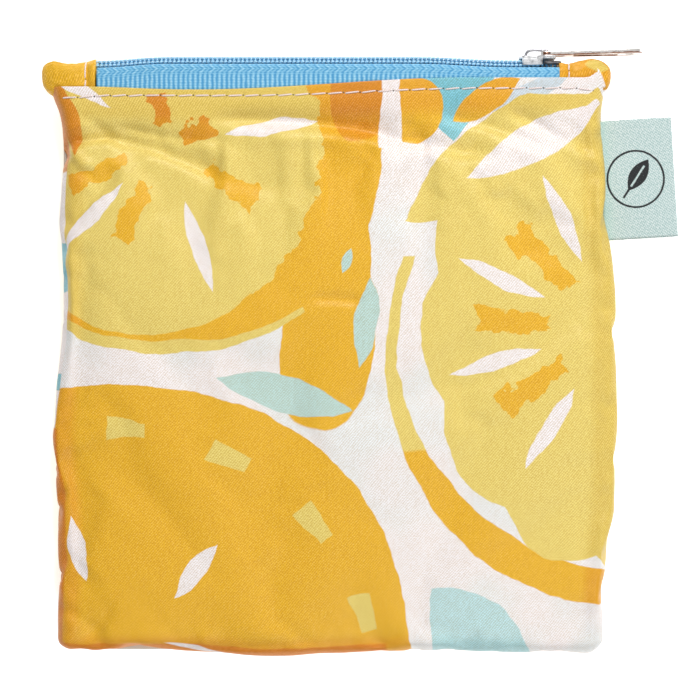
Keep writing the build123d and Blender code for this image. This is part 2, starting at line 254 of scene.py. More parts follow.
def surface(name, roughness, metallic=0.0, sheen=0.0, specular=0.5, sheen_roughness=0.4):
    """A new material's graph, with the uniform values set on the shader itself."""
    material = bpy.data.materials.new(name)
    material.use_nodes = True
    graph = Graph(material.node_tree)
    graph.material, graph.shader = material, material.node_tree.nodes["Principled BSDF"]
    values = {"Roughness": roughness, "Metallic": metallic, "Sheen Weight": sheen,
              "Sheen Roughness": sheen_roughness, "Specular IOR Level": specular}
    for key, value in values.items():
        graph.shader.inputs[key].default_value = value
    return graph


# ---------------------------------------------------------------- the citrus print
PITH = srgb(245, 241, 244)
COOL_PITH = srgb(236, 240, 243)
FLESH = srgb(234, 213, 116)
GOLD = srgb(236, 184, 34)
AMBER = srgb(226, 158, 18)
# a deeper orange for the seam edges: partly the doubled cloth, partly painted shade
SEAM_SHADE_AMBER = srgb(228, 152, 6)
AQUA = srgb(190, 221, 218)
PALE_AQUA = srgb(190, 226, 232)
TEAL = srgb(138, 206, 222)
MIST = srgb(214, 226, 236)


def stroke_places(g, p, start, end):
    """Where p is along and across the line between two points, and half the line's length."""
    a, b = np.array(start, float), np.array(end, float)
    half = float(np.linalg.norm(b - a)) / 2
    along = (b - a) / (2 * half)
    q = g.vector("SUBTRACT", p, (*((a + b) / 2), 0))
    return g.dot(q, *along), abs(g.dot(q, -along[1], along[0])), half


def leaf(g, p, start, end, width):
    """How far p is outside a pointed leaf between two points, in millimetres."""
    s, across, half = stroke_places(g, p, start, end)
    return across - (s * s * (-width / half ** 2) + width)


def dash(g, p, start, end, width, taper=0.25):
    """How far p is outside a blunt brush stroke between two points."""
    s, across, half = stroke_places(g, p, start, end)
    return g.math("MAXIMUM", across - (s * (width * taper / half) + width), abs(s) - half)


def disc(g, p, centre, radii, turn=0.0, lobes=0, lobe_depth=0.0, power=2.0):
    """How far p is outside a disc or oval, which may be lobed or squared off."""
    q = g.vector("SUBTRACT", p, (*centre, 0))
    c, s = math.cos(turn), math.sin(turn)
    x, y = g.dot(q, c / radii[0], s / radii[0]), g.dot(q, -s / radii[1], c / radii[1])
    reach = g.math("POWER", g.math("POWER", abs(x), power) + g.math("POWER", abs(y), power), 1 / power)
    if lobes:
        wave = abs(g.math("SINE", g.math("ARCTAN2", y, x) * (lobes / 2)))
        reach = wave * (-lobe_depth / max(radii)) + reach
    return (reach - 1.0) * min(radii)


def way(degrees):
    """The direction at an angle."""
    return np.array([math.cos(math.radians(degrees)), math.sin(math.radians(degrees))])


def spokes(g, p, centre, angles, near, far, width, mark=leaf):
    """The nearest of some marks that point away from the middle of a slice."""
    return g.least([mark(g, p, centre + near * way(a), centre + far * way(a), width) for a in angles])


def glints(g, p, centre, radius, angles, length, width):
    """The nearest of some short strokes that lie along the rim of a slice."""
    reach = length / 2
    middles = [(centre + radius * way(a), reach * way(a + 90)) for a in angles]
    return g.least([dash(g, p, middle - half, middle + half, width) for middle, half in middles])


class Print:
    """The print's colours, painted one shape over another."""

    def __init__(self, g, p, ground):
        self.g, self.p, self.colour = g, p, ground

    def paint(self, ink, *distances, edge=0.16):
        """Inks the places that lie inside every one of some outlines."""
        distance = distances[0]
        for other in distances[1:]:
            distance = self.g.math("MAXIMUM", distance, other)
        self.colour = self.g.mix(self.g.smooth(distance, -edge, edge, 1.0, 0.0), self.colour, ink)

    def leaf(self, ink, *shape):
        self.paint(ink, leaf(self.g, self.p, *shape))

    def disc(self, ink, *shape, **options):
        self.paint(ink, disc(self.g, self.p, *shape, **options))


def print_slices(art, frayed_edge, px, py):
    """Three cut fruits, with a golden patch and a half slice between them."""
    g, p = art.g, art.p
    art.disc(GOLD, (-1, 4), (10.6, 20), -0.12, power=2.6)
    art.leaf(TEAL, (28.6, 49.6), (28.6, 80), 9.5)
    art.disc(GOLD, (19.3, 56.3), (7.4, 6.9))
    art.leaf(MIST, (37, 55), (57, 64), 2.2)
    # upper-left slice: rim, ring and flesh
    art.disc(FLESH, (-38.5, 50), (49.6, 48.6), power=2.2)
    art.disc(GOLD, (-38, 52.5), (50, 48.2), power=2.3)
    art.disc(GOLD, (0.2, 24), (8.6, 16), power=3.0)
    art.paint(FLESH, disc(g, frayed_edge, (-43.5, 50.5), (41.5, 44.9)))
    art.disc(AMBER, (6.8, 60), (6.2, 10.5), power=3.0)
    # lower-left slice
    art.disc(GOLD, (-50.5, -77), (69.3, 71), power=2.35)
    # right-hand slice: its thin rim is pale above and golden below
    rim = abs(disc(g, p, (68, 3), (54.5, 56))) - g.smooth(py, -50.0, 2.0, 4.0, 1.3)
    art.paint(g.mix(g.smooth(py, -21.5, -20.5), GOLD, FLESH), rim, py - 24.0)
    flesh = disc(g, p, (63.5, 7), (40.5, 52.5), 0.05, lobes=11, lobe_depth=4.2)
    flesh = g.math("MAXIMUM", flesh, py - 58.6)
    upper = g.math("MAXIMUM", leaf(g, p, (17, 32), (74, 66), 8.8), py - 59.2)
    art.paint(FLESH, g.least([flesh, upper, leaf(g, p, (17.2, 32), (40, 55), 4.2)]))
    art.paint(PALE_AQUA, disc(g, p, (27, -76), (20.5, 23)), 23.5 - px)


def print_marks(art, torn):
    """Pips, segments and glints, set out evenly round the middle of each slice, and water drops."""
    g, p = art.g, art.p
    upper_left, lower_left, right = (-38.5, 50), (-50.5, -77), (63.5, 7)
    art.paint(GOLD, spokes(g, torn, upper_left, (-155, -115, -32), 11, 25, 2.0, dash))
    art.paint(GOLD, spokes(g, torn, right, (134, 176, 216), 14, 31, 2.5, dash))
    art.leaf(GOLD, (29.0, 53.4), (44, 62.2), 3.1)
    art.paint(AMBER, spokes(g, torn, upper_left, (22, 92), 4, 12, 2.0, dash))
    art.leaf(AMBER, (-66, 72), (-60, 47), 4.2)
    art.paint(FLESH, glints(g, p, lower_left, 61, (86, 63, 40, 17), 9, 2.2))
    art.paint(PITH, spokes(g, p, upper_left, (-135, -72, 8, 146), 14, 36, 1.8))
    art.paint(PITH, spokes(g, p, right, (112, 155, 196, 238), 17, 38, 1.9))
    art.paint(PITH, spokes(g, p, lower_left, (104, 55, 12), 26, 42, 2.4))
    art.leaf(PITH, (65, 57), (32, 42), 3.8)
    art.paint(PITH, dash(g, p, (14.3, 70), (14.2, 48), 2.3))
    art.leaf(AQUA, (-26, -4), (5, -12), 4.2)
    art.leaf(AQUA, (8.6, 19), (6.4, -2), 2.7)
    art.leaf(AQUA, (2, 20), (4.6, 26), 1.0)


def print_edges(art, x, y, py):
    """What shows at the zipper's right-hand end and beyond the left seam, and painted shade along the edges.
    """
    g = art.g
    art.disc(GOLD, (48, 73), (8, 8), power=5.0)
    art.disc(FLESH, (50.6, 73.8), (2.9, 2.2))
    art.leaf(PITH, (50.6, 72.2), (52.6, 67.5), 0.8)
    # the neighbouring panel's print, which shows beyond the left-hand seam
    high = 43
    for low, ink in ((26.6, PITH), (15, TEAL), (-3.4, PITH), (-7, TEAL), (-16, PITH)):
        art.paint(ink, x + 63.1, abs(py - (high + low) / 2) - (high - low) / 2)
        high = low
    # painted shade, partly real: the rounded edges over the seam allowances are inked a deeper orange, both
    # for the allowances behind the thin cloth and for the shade on the turned edges
    art.paint(SEAM_SHADE_AMBER, x + 62.1, py + 16.0, edge=0.5)
    art.paint(SEAM_SHADE_AMBER, x + 63.1, 43.0 - py, edge=0.5)
    art.paint(SEAM_SHADE_AMBER, py + 67.0, x - 13.0, edge=0.4)
    art.leaf(PITH, (-38, -66.6), (-24, -69.8), 0.8)
    # painted shade: the inks are darkened below the hem and along the seams
    hem_and_seam_shade = g.least([55.5 - y, 58.5 - x, x + 58.0, y + 65.0])
    art.colour = g.mix(g.smooth(hem_and_seam_shade, -1.6, 1.6, 0.36, 0.0), art.colour, art.colour, "MULTIPLY")


def make_print():
    """The node group that turns a place on the flat cloth into the print's colour there."""
    tree = bpy.data.node_groups.new("citrus_print", "ShaderNodeTree")
    tree.interface.new_socket("Flat", in_out="INPUT", socket_type="NodeSocketVector")
    tree.interface.new_socket("Color", in_out="OUTPUT", socket_type="NodeSocketColor")
    g = Graph(tree)
    x, y, _ = g.split(tree.nodes.new("NodeGroupInput").outputs[0])
    # the pattern repeats as mirror images outside its own 150 by 160 mm
    x = g.math("PINGPONG", x + 75.0, 150.0) - 75.0
    y = g.math("PINGPONG", y + 80.0, 160.0) - 80.0
    joined = g.node("CombineXYZ", X=x, Y=y).outputs[0]
    p = g.jitter(joined, 0.11, (2.6, 2.6), 3, middle=0.5)
    torn = g.jitter(joined, 0.30, (5.5, 5.5), middle=0.5, onto=p)
    px, py, _ = g.split(p)
    frayed = g.node("Mix", {"data_type": "VECTOR"})
    for number, value in ((0, g.smooth(px, -26.0, -8.0)), (4, p), (5, torn)):
        g.put(frayed.inputs[number], value)
    art = Print(g, p, g.mix(g.smooth(g.noise(joined, 0.035), 0.42, 0.62), PITH, COOL_PITH))
    print_slices(art, frayed.outputs[1], px, py)
    print_marks(art, torn)
    print_edges(art, x, y, py)
    g.put(tree.nodes.new("NodeGroupOutput").inputs[0], art.colour)
    return tree


print_group = make_print()


# ---------------------------------------------------------------- materials
def printed_cloth(name, shift=(0, 0), stretch=1.0, fade=0.0):
    """Satin-woven printed polyester: the print, its diagonal threads, a soft sheen and slight soiling."""
    g = surface(name, 0.52, sheen=0.10, specular=0.40, sheen_roughness=0.35)
    flat = g.flat()
    moved = g.vector("MULTIPLY_ADD", flat, (stretch, stretch, 0), (*shift, 0))
    colour = g.node("Group", {"node_tree": print_group}, (moved,)).outputs[0]
    uneven = g.noise(flat, 0.5, 3)
    threads_at = g.jitter(flat, 1.7, (0.34, 0.34))
    slub = g.noise(g.vector("MULTIPLY", flat, (1.0, 2.2, 1.0)), 1.5)
    threads = g.weave(threads_at, 0.52, 57) * 0.18 + g.weave(threads_at, 0.48, -39) * 0.48
    threads = g.smooth(slub, 0.3, 0.7) * 0.34 + threads
    colour = g.mix(g.smooth(threads, 0.80, 0.15, 0.0, 0.66), colour, srgb(204, 184, 152), "MULTIPLY")
    colour = g.mix(g.smooth(uneven, 0.35, 0.75, 0.0, 0.10), colour, srgb(214, 184, 140), "MULTIPLY")
    colour = g.mix(g.smooth(threads, 0.60, 1.0, fade, fade + 0.10), colour, srgb(255, 250, 240))
    return g.shaded(colour, threads, 0.035, 0.55, g.smooth(threads, 0.0, 1.0, 0.60, 0.44))


def thread_material(name, colour, dark):
    """Twisted sewing thread: slanting plies with darker grooves between them."""
    g = surface(name, 0.62, sheen=0.25, specular=0.35)
    tone = g.weave(g.flat(), 0.34, 35) * 0.7 + g.noise(g.flat(), 2.6) * 0.3
    return g.shaded(g.mix(g.smooth(tone, 0.15, 0.7), dark, colour), tone, 0.05, 0.6)


def tape_material():
    """Woven zipper tape: herringbone beside the coil and raised ribs towards its edge."""
    g = surface("zipper_tape", 0.66, sheen=0.2, specular=0.35)
    flat = g.jitter(g.flat(), 0.9, (0.5, 0.35))
    x, y, _ = g.split(flat)
    rows = g.node("CombineXYZ", X=g.math("PINGPONG", y, 0.85) * 1.3 + x, Y=0.0).outputs[0]
    herring = g.weave(rows, 2.25, 0) * 0.35 + g.weave(rows, 1.12, 0) * 0.65
    cross = g.weave(flat, 0.55, 90)
    lower = g.smooth(y, 2.4, 3.2)
    threads = cross * 0.25 + herring * 0.75
    ribbed = cross * 0.22 + g.weave(flat, 1.12, 0) * 0.78
    height = threads * (1.0 - lower) + ribbed * lower
    colour = g.mix(g.smooth(height, 0.18, 0.60), srgb(70, 146, 194), srgb(118, 180, 212))
    colour = g.mix(g.smooth(height, 0.66, 0.95), colour, srgb(158, 204, 226))
    colour = g.mix(g.smooth(g.noise(flat, 0.9), 0.4, 0.8, 0.0, 0.25), colour, srgb(110, 178, 214))
    return g.shaded(colour, height, 0.10, 0.8)


def nylon_material():
    """Dyed nylon monofilament with fine drawing lines."""
    g = surface("coil_nylon", 0.34, specular=0.55)
    lines = g.noise(g.vector("MULTIPLY", g.flat(), (0.9, 3.0, 3.0)), 1.0)
    return g.shaded(g.mix(lines, srgb(92, 168, 214), srgb(140, 204, 236)), lines, 0.02, 0.4)


def metal_material(name, colour, rubbed_or_brown_colour, wear_from, roughness, brown_below=None, shine=1.0):
    """Plated metal: small dents and polish lines, the base metal showing through at its edges, and the lower
    side coloured brown below a given height.
    """
    g = surface(name, roughness, metallic=shine)
    place = g.flat()
    grain = g.noise(g.vector("MULTIPLY", place, (0.35, 3.0, 3.0)), 1.6, 3)
    dents = g.noise(place, 0.9)
    edge = dents * 0.10 + Value(g, g.node("NewGeometry").outputs["Pointiness"])
    rubbed_or_brown = g.smooth(edge, wear_from, wear_from + 0.06)
    # below that height, away from the middle, the lower side of the rim is coloured brown
    if brown_below is not None:
        _, height, depth = g.split(place)
        low = g.smooth(dents * -0.5 + height, brown_below - 0.12, brown_below + 0.05, 1.0, 0.0)
        brown_side = g.smooth(abs(depth - MID), 0.9, 1.5) * low
        rubbed_or_brown = g.math("MAXIMUM", rubbed_or_brown, brown_side)
    base = g.mix(g.smooth(grain, 0.3, 0.7, 0.0, 0.35), colour, srgb(176, 172, 166))
    roughness = g.smooth(grain, 0.2, 0.8, roughness, roughness + 0.14)
    return g.shaded(g.mix(rubbed_or_brown, base, rubbed_or_brown_colour), grain, 0.012, 0.35, roughness)


def label_material():
    """Mint twill label with a plain dark leaf in a ring printed on it."""
    g = surface("woven_label", 0.72, sheen=0.3, specular=0.3)
    flat = g.flat()
    across, up, _ = g.split(flat)
    threads_at = g.jitter(flat, 1.5, (0.4, 0.4))
    threads = g.weave(threads_at, 0.44, -30) * 0.30 + g.weave(threads_at, 0.50, 52) * 0.35
    threads = g.smooth(g.noise(flat, 2.2), 0.3, 0.7) * 0.35 + threads
    colour = g.mix(g.smooth(threads, 0.15, 0.85), srgb(152, 180, 178), srgb(208, 219, 217))
    # painted shadow: the label turns a deeper teal near the seam, where the panel's rounded side shades it
    colour = g.mix(g.smooth(across, -1.0, 3.5, 0.55, 0.0), colour, srgb(150, 196, 192))
    vein = dash(g, flat, (6.8, -1.7), (10.2, 3.0), 0.22, 0.0)
    blade = g.math("MAXIMUM", leaf(g, flat, (6.1, -2.6), (11.2, 4.4), 2.0), vein * -1.0)
    ring = abs(disc(g, flat, (8.0, 0.0), (6.6, 6.6))) - 0.24
    stem = g.math("MAXIMUM", dash(g, flat, (4.9, -4.3), (9.0, 1.4), 0.26, 0.0), up + 2.1)
    ink = g.smooth(g.least([blade, stem, ring]), -0.08, 0.08, 1.0, 0.0)
    ink = ink * g.smooth(threads, 0.0, 0.3, 0.85, 1.0)
    return g.shaded(g.mix(ink, colour, srgb(34, 36, 38)), threads, 0.06, 0.7)


PAPER_GLOW = 0.64


def floor_material():
    """Plain matt paper lit from below, as on a light table."""
    g = surface("paper", 0.9, specular=0.1)
    grain = g.noise(g.node("NewGeometry").outputs["Position"], 900.0)
    colour = g.mix(grain, (0.90, 0.90, 0.90, 1), (0.93, 0.93, 0.93, 1))
    g.put(g.shader.inputs["Base Color"], colour)
    g.shader.inputs["Emission Color"].default_value = (1, 1, 1, 1)
    g.shader.inputs["Emission Strength"].default_value = PAPER_GLOW
    return g.material


cloth_material = printed_cloth("printed_cloth")
tote_material = printed_cloth("tote_cloth", shift=(-30, 44), fade=0.06)
strap_material = printed_cloth("strap_cloth", shift=(60, 10), stretch=1.3)
seam_material = thread_material("seam_thread", srgb(236, 226, 214), srgb(196, 176, 150))
white_thread = thread_material("white_thread", srgb(247, 236, 234), srgb(196, 170, 160))
bead_thread = thread_material("bead_thread", srgb(196, 228, 244), srgb(124, 188, 224))
tape_cloth = tape_material()
nylon = nylon_material()
# partly painted reflection: the slider's near-white, half-diffuse plating stands both for its pale metal and
# for the white surroundings it reflects
nickel_painted_reflection = metal_material("bright_nickel", srgb(250, 250, 251), srgb(88, 84, 84), 0.56, 0.2, shine=0.45)
# painted dark reflection: the bridge is a darker grey than the slider, so that it reads outlined
bridge_nickel_painted_reflection = metal_material("bridge_nickel_painted_reflection", srgb(150, 150, 156), srgb(70, 66, 66), 0.54, 0.24, shine=0.6)
# the pull's lower side is coloured brown below the pivot
pull_nickel = metal_material("pull_nickel", srgb(238, 234, 230), srgb(128, 80, 52), 0.64, 0.24,
                             brown_below=PIVOT_Y - 0.5, shine=0.7)
# the stops are real parts, but their near-black metal is painted shade for the slider's open end
stop_metal = metal_material("stop_metal", srgb(58, 56, 62), srgb(96, 92, 96), 0.62, 0.4, shine=0.6)
label_cloth = label_material()


# ---------------------------------------------------------------- mesh helpers
def mesh_piece(name, points, faces, material, flat=None, smooth=True):
    """A new mesh object from points in millimetres. flat holds each point's place on its cloth."""
    mesh = bpy.data.meshes.new(name)
    points = np.asarray(points, float).reshape(-1, 3)
    mesh.from_pydata((points * MM).tolist(), [], [list(map(int, f)) for f in faces])
    mesh.polygons.foreach_set("use_smooth", [smooth] * len(mesh.polygons))
    flat = points if flat is None else np.asarray(flat, float)
    flat = flat.reshape(len(points), -1)
    flat = np.c_[flat, np.zeros((len(flat), 3 - flat.shape[1]))]
    attribute = mesh.attributes.new("flat", "FLOAT_VECTOR", "POINT")
    attribute.data.foreach_set("vector", flat.ravel())
    mesh.materials.append(material)
    mesh.update()
    return placed(name, mesh)


def points_of(mesh, unit=MM):
    """The places of a mesh's points, in millimetres unless another unit is asked for."""
    return np.array([v.co for v in mesh.vertices], float) / unit


def as_shaped(piece):
    """A piece as its modifiers leave it."""
    return piece.evaluated_get(bpy.context.evaluated_depsgraph_get())


def run_along(points):
    """How far along a line of points each one lies."""
    return np.r_[0, np.cumsum(np.linalg.norm(np.diff(points, axis=0), axis=1))]


def blunt(wave, power):
    """A sine or cosine squared off, so that a ring made of them has flatter sides."""
    return np.sign(wave) * np.abs(wave) ** (2 / power)


def grid_faces(rows, columns, closed=False, first=0):
    """Quads of a grid of points, row by row. closed joins the last column to the first."""
    faces = []
    for r in range(rows - 1):
        for c in range(columns if closed else columns - 1):
            d = (c + 1) % columns
            a, b = first + r * columns, first + (r + 1) * columns
            faces.append((a + c, a + d, b + d, b + c))
    return faces


def sheet_piece(name, grid, material, flat, thickness):
    """A sheet from a grid of points, rows by columns, given real thickness on one side."""
    made = mesh_piece(name, grid, grid_faces(*grid.shape[:2]), material, flat)
    solid = made.modifiers.new("thickness", "SOLIDIFY")
    solid.thickness, solid.offset = thickness * MM, -1.0
    return made


class Tubes:
    """Many thin tubes gathered into one mesh."""

    def __init__(self):
        self.points, self.faces, self.flat = [], [], []

    def add(self, path, radii, sides=8, flatten=1.0, up=(0, 0, 1), power=2.0):
        """A tube along a path, with a radius at each point and its ends closed."""
        path = np.asarray(path, float)
        ahead = np.gradient(path, axis=0)
        ahead /= np.linalg.norm(ahead, axis=1)[:, None] + 1e-12
        across = np.cross(ahead, np.asarray(up, float))
        across /= np.linalg.norm(across, axis=1)[:, None] + 1e-12
        lift = np.cross(across, ahead)
        turn = np.arange(sides) * 2 * math.pi / sides
        radii = np.broadcast_to(np.asarray(radii, float), (len(path),))
        wide = blunt(np.cos(turn), power)
        tall = blunt(np.sin(turn), power) * flatten
        ring = wide[None, :, None] * across[:, None] + tall[None, :, None] * lift[:, None]
        points = path[:, None] + radii[:, None, None] * ring
        first = len(self.points)
        for at, row in zip(run_along(path), points):
            self.points.extend(row)
            self.flat.extend((at, t * radii.max()) for t in turn)
        self.faces += grid_faces(len(path), sides, True, first)
        self.faces.append(tuple(first + s for s in range(sides))[::-1])
        last = first + (len(path) - 1) * sides
        self.faces.append(tuple(last + s for s in range(sides)))

    def piece(self, name, material):
        return mesh_piece(name, self.points, self.faces, material, self.flat)


def plate(name, outlines, y_low, y_high, material, bevel=0.12):
    """A flat part with rounded edges, from outlines in X and Z; the later ones are holes."""
    curve = bpy.data.curves.new(name, "CURVE")
    curve.dimensions, curve.fill_mode = "2D", "BOTH"
    half = (y_high - y_low) / 2
    curve.extrude = (half - bevel) * MM
    curve.bevel_depth, curve.bevel_resolution = bevel * MM, 3
    curve.offset = -bevel * MM
    for outline in outlines:
        spline = curve.splines.new("POLY")
        spline.points.add(len(outline) - 1)
        for point, (x, z) in zip(spline.points, outline):
            point.co = (x * MM, z * MM, 0, 1)
        spline.use_cyclic_u = True
    holder = placed(name, curve)
    bpy.context.view_layer.update()
    mesh = bpy.data.meshes.new_from_object(as_shaped(holder))
    bpy.data.objects.remove(holder)
    points = points_of(mesh)
    points = np.c_[points[:, 0], (y_low + y_high) / 2 - points[:, 2], points[:, 1]]
    faces = [p.vertices[:] for p in mesh.polygons]
    made = mesh_piece(name, points, faces, material)
    shade_by_angle(made, 40)
    return made


def shade_by_angle(piece, degrees):
    """Smooth shading, with edges sharper than the angle left sharp."""
    piece.data.set_sharp_from_angle(angle=math.radians(degrees))


def join(name, pieces):
    """One mesh object made of several."""
    bpy.ops.object.select_all(action="DESELECT")
    for piece in pieces:
        piece.select_set(True)
    bpy.context.view_layer.objects.active = pieces[0]
    bpy.ops.object.join()
    pieces[0].name = name
    return pieces[0]


def rounded(points, radius, steps=6):
    """A closed outline with its corners rounded, as far as its sides leave room."""
    outline = []
    count = len(points)
    for n in range(count):
        before, corner, after = (np.array(points[(n + k) % count], float) for k in (-1, 0, 1))
        back, ahead = np.linalg.norm(before - corner), np.linalg.norm(after - corner)
        a, b = (before - corner) / back, (after - corner) / ahead
        half = math.acos(np.clip(a @ b, -1, 1)) / 2
        reach = min(radius / math.tan(half), back / 2, ahead / 2)
        for t in np.linspace(0, 1, steps):
            outline.append(corner + a * reach * (1 - t) ** 2 + b * reach * t ** 2)
    return outline


def ease(t):
    """A smooth step from 0 to 1."""
    t = np.clip(t, 0, 1)
    return t * t * (3 - 2 * t)


def wander(x, y, size, seed):
    """Smooth noise from -1 to 1 over arrays of places, with features of about one size."""
    out = np.empty(np.shape(x))
    flat_x, flat_y, flat_out = np.ravel(x), np.ravel(y), out.reshape(-1)
    for n in range(flat_out.size):
        flat_out[n] = noise.noise(Vector((flat_x[n] / size, flat_y[n] / size, seed)))
    return out * 1.6


# ---------------------------------------------------------------- the pouch's cloth
def mouth_line(x):
    """How high the panel's folded edge reaches towards the coil."""
    rise = 2.8 * ease((x + 30) / 62) + 0.7 * ease((-x - 32) / 24)
    return MOUTH - 0.4 + rise + 1.3 * np.exp(-((x - 62.0) / 1.3) ** 2) - 0.9 * ease((x - 62) / 2)


def stitch_line(x):
    """Where the topstitching runs."""
    return MOUTH - 1.6 + 1.7 * ease((x + 20) / 55) - 0.5 * ease((-x - 52) / 8) - 1.0 * ease((x - 57) / 7)


def curve_through(points, at):
    """A smooth curve through points of place and value, read at many places."""
    places, values = np.array(points, float).T
    slopes = np.gradient(values, places)
    at = np.clip(at, places[0], places[-1])
    n = np.clip(np.searchsorted(places, at) - 1, 0, len(places) - 2)
    step = places[n + 1] - places[n]
    t = (at - places[n]) / step
    start = (2 * t ** 3 - 3 * t ** 2 + 1) * values[n] + (t ** 3 - 2 * t ** 2 + t) * step * slopes[n]
    return start + (3 * t ** 2 - 2 * t ** 3) * values[n + 1] + (t ** 3 - t ** 2) * step * slopes[n + 1]


# the seams' own bends: places up or across the panel, and how far out the seam lies there
RIGHT_OUTLINE = [(-70, 63.2), (-57, 63.7), (-46, 64.8), (-34, 66.2), (-20, 66.7), (0, 66.5), (20, 66.0),
                 (29, 65.0), (42, 64.3), (56, 63.3), (63, 64.2), (67, 64.4)]
LEFT_OUTLINE = [(-70, -63.4), (-50, -63.4), (-34, -63.8), (-17, -64.9), (-4, -63.9), (10, -62.9), (42, -62.9),
                (50, -62.4), (57, -63.6), (61, -65.0), (66, -65.8)]
BOTTOM_OUTLINE = [(-66, -68.0), (-55, -68.3), (-42, -67.8), (-28, -68.2), (-14, -69.4), (0, -68.6),
                  (24, -68.0), (45, -68.6), (66, -68.2)]


# Each crease: start, end, sideways bow, half-width, depth. Below 0 is a ridge.
FRONT_CREASES = [
    ((-26, 56.0), (12, 52.6), 0.8, 1.9, 2.6),
    ((8, 53.0), (38, 47.5), -0.6, 1.8, 2.3),
    ((-16, 50.6), (20, 49.6), 0.5, 1.4, -0.5),
    ((-66, 48.0), (-50, 51.3), 0.9, 1.1, 2.4),
    ((-51, 51.3), (-26, 42.5), 0.8, 1.5, 1.9),
    ((-62, 45.5), (-40, 46.0), -0.8, 1.6, -0.5),
    ((-49, 54.0), (-24, 50.5), -0.8, 1.4, 0.9),
    ((-58, 57.0), (-44, 45.0), 0.5, 1.4, 0.7),
    ((26, 56.5), (50, 49.0), 0.8, 1.7, 1.6),
    ((42, 58.0), (63, 47.5), -0.7, 1.5, 1.9),
    ((50, 53.0), (58, 49.0), 0.4, 1.1, -0.5),
    ((-30, 43.0), (-4, 40.0), -1.0, 2.4, 0.7),
    ((60.0, 46), (59.0, 18), 0.6, 1.8, 0.9),
    ((-4, 13.8), (7, 13.2), 0.2, 0.7, 0.8),
    ((-60, -20), (-58.5, -46), 0.6, 1.8, 0.6),
    ((-62, -58), (-52, -64), 0.6, 1.3, 0.8),
    ((-58, -67), (-50, -57), -0.5, 1.2, 0.7),
    ((50, -66), (60, -58), 0.5, 1.3, 0.5),
    ((-52, -65.6), (-16, -66.4), -0.5, 0.7, 0.55),
    ((-22, -66.6), (16, -65.6), 0.4, 0.7, 0.6),
    ((30, -66), (52, -66.5), -0.4, 1.4, 0.35),
]
BACK_CREASES = [
    ((-40, 53), (10, 51), 1.0, 1.7, 0.8),
    ((14, 52), (50, 54), -0.8, 1.6, 0.8),
    ((-62, 50), (-44, 40), 0.8, 1.6, 0.6),
    ((44, 44), (62, 52), 0.6, 1.6, 0.6),
    ((-20, 8), (8, 2), 0.8, 1.6, 0.4),
    ((52, -64), (60, -54), 0.5, 1.3, 0.6),
    ((-60, -54), (-52, -64), 0.5, 1.3, 0.6),
]


def crease_depth(x, y, creases):
    """How far the creases press the cloth in at each place."""
    depth = np.zeros_like(x)
    for start, end, bow, width, deep in creases:
        a, b = np.array(start, float), np.array(end, float)
        length = np.linalg.norm(b - a)
        along = (b - a) / length
        s = ((x - a[0]) * along[0] + (y - a[1]) * along[1]) / length
        n = -(x - a[0]) * along[1] + (y - a[1]) * along[0]
        n = n - bow * 4 * s * (1 - s)
        ends = ease((s + 0.12) / 0.3) * ease((1.12 - s) / 0.3)
        spread = width * (1 + 0.5 * np.clip(n / width, 0, 2))
        depth += deep * ends * np.exp(-(n / spread) ** 2)
    return depth


# how far the cloth's own unevenness reaches: along the seams, then over the whole panel
SEAM_WAVE, SEAM_PUCKER = 0.30, 0.30
BROAD_WAVE, FINE_WAVE = 0.16, 0.07
STITCH_DIP = 0.10
# how far the panel lies inside its CAD face, and how far over the tape it runs at the mouth
PANEL_INSET, HEM_ROOM = 0.12, 0.46
CLOTH_WIDTH = RIGHT - LEFT - 2 * EDGE_R + 2 * EDGE_ARC
CLOTH_HEIGHT = MOUTH - BOTTOM - EDGE_R + EDGE_ARC
COLUMNS = np.linspace(0, CLOTH_WIDTH, 158)
ROWS = np.r_[np.linspace(0, CLOTH_HEIGHT - 12, 150), np.linspace(CLOTH_HEIGHT - 12, CLOTH_HEIGHT, 29)[1:]]


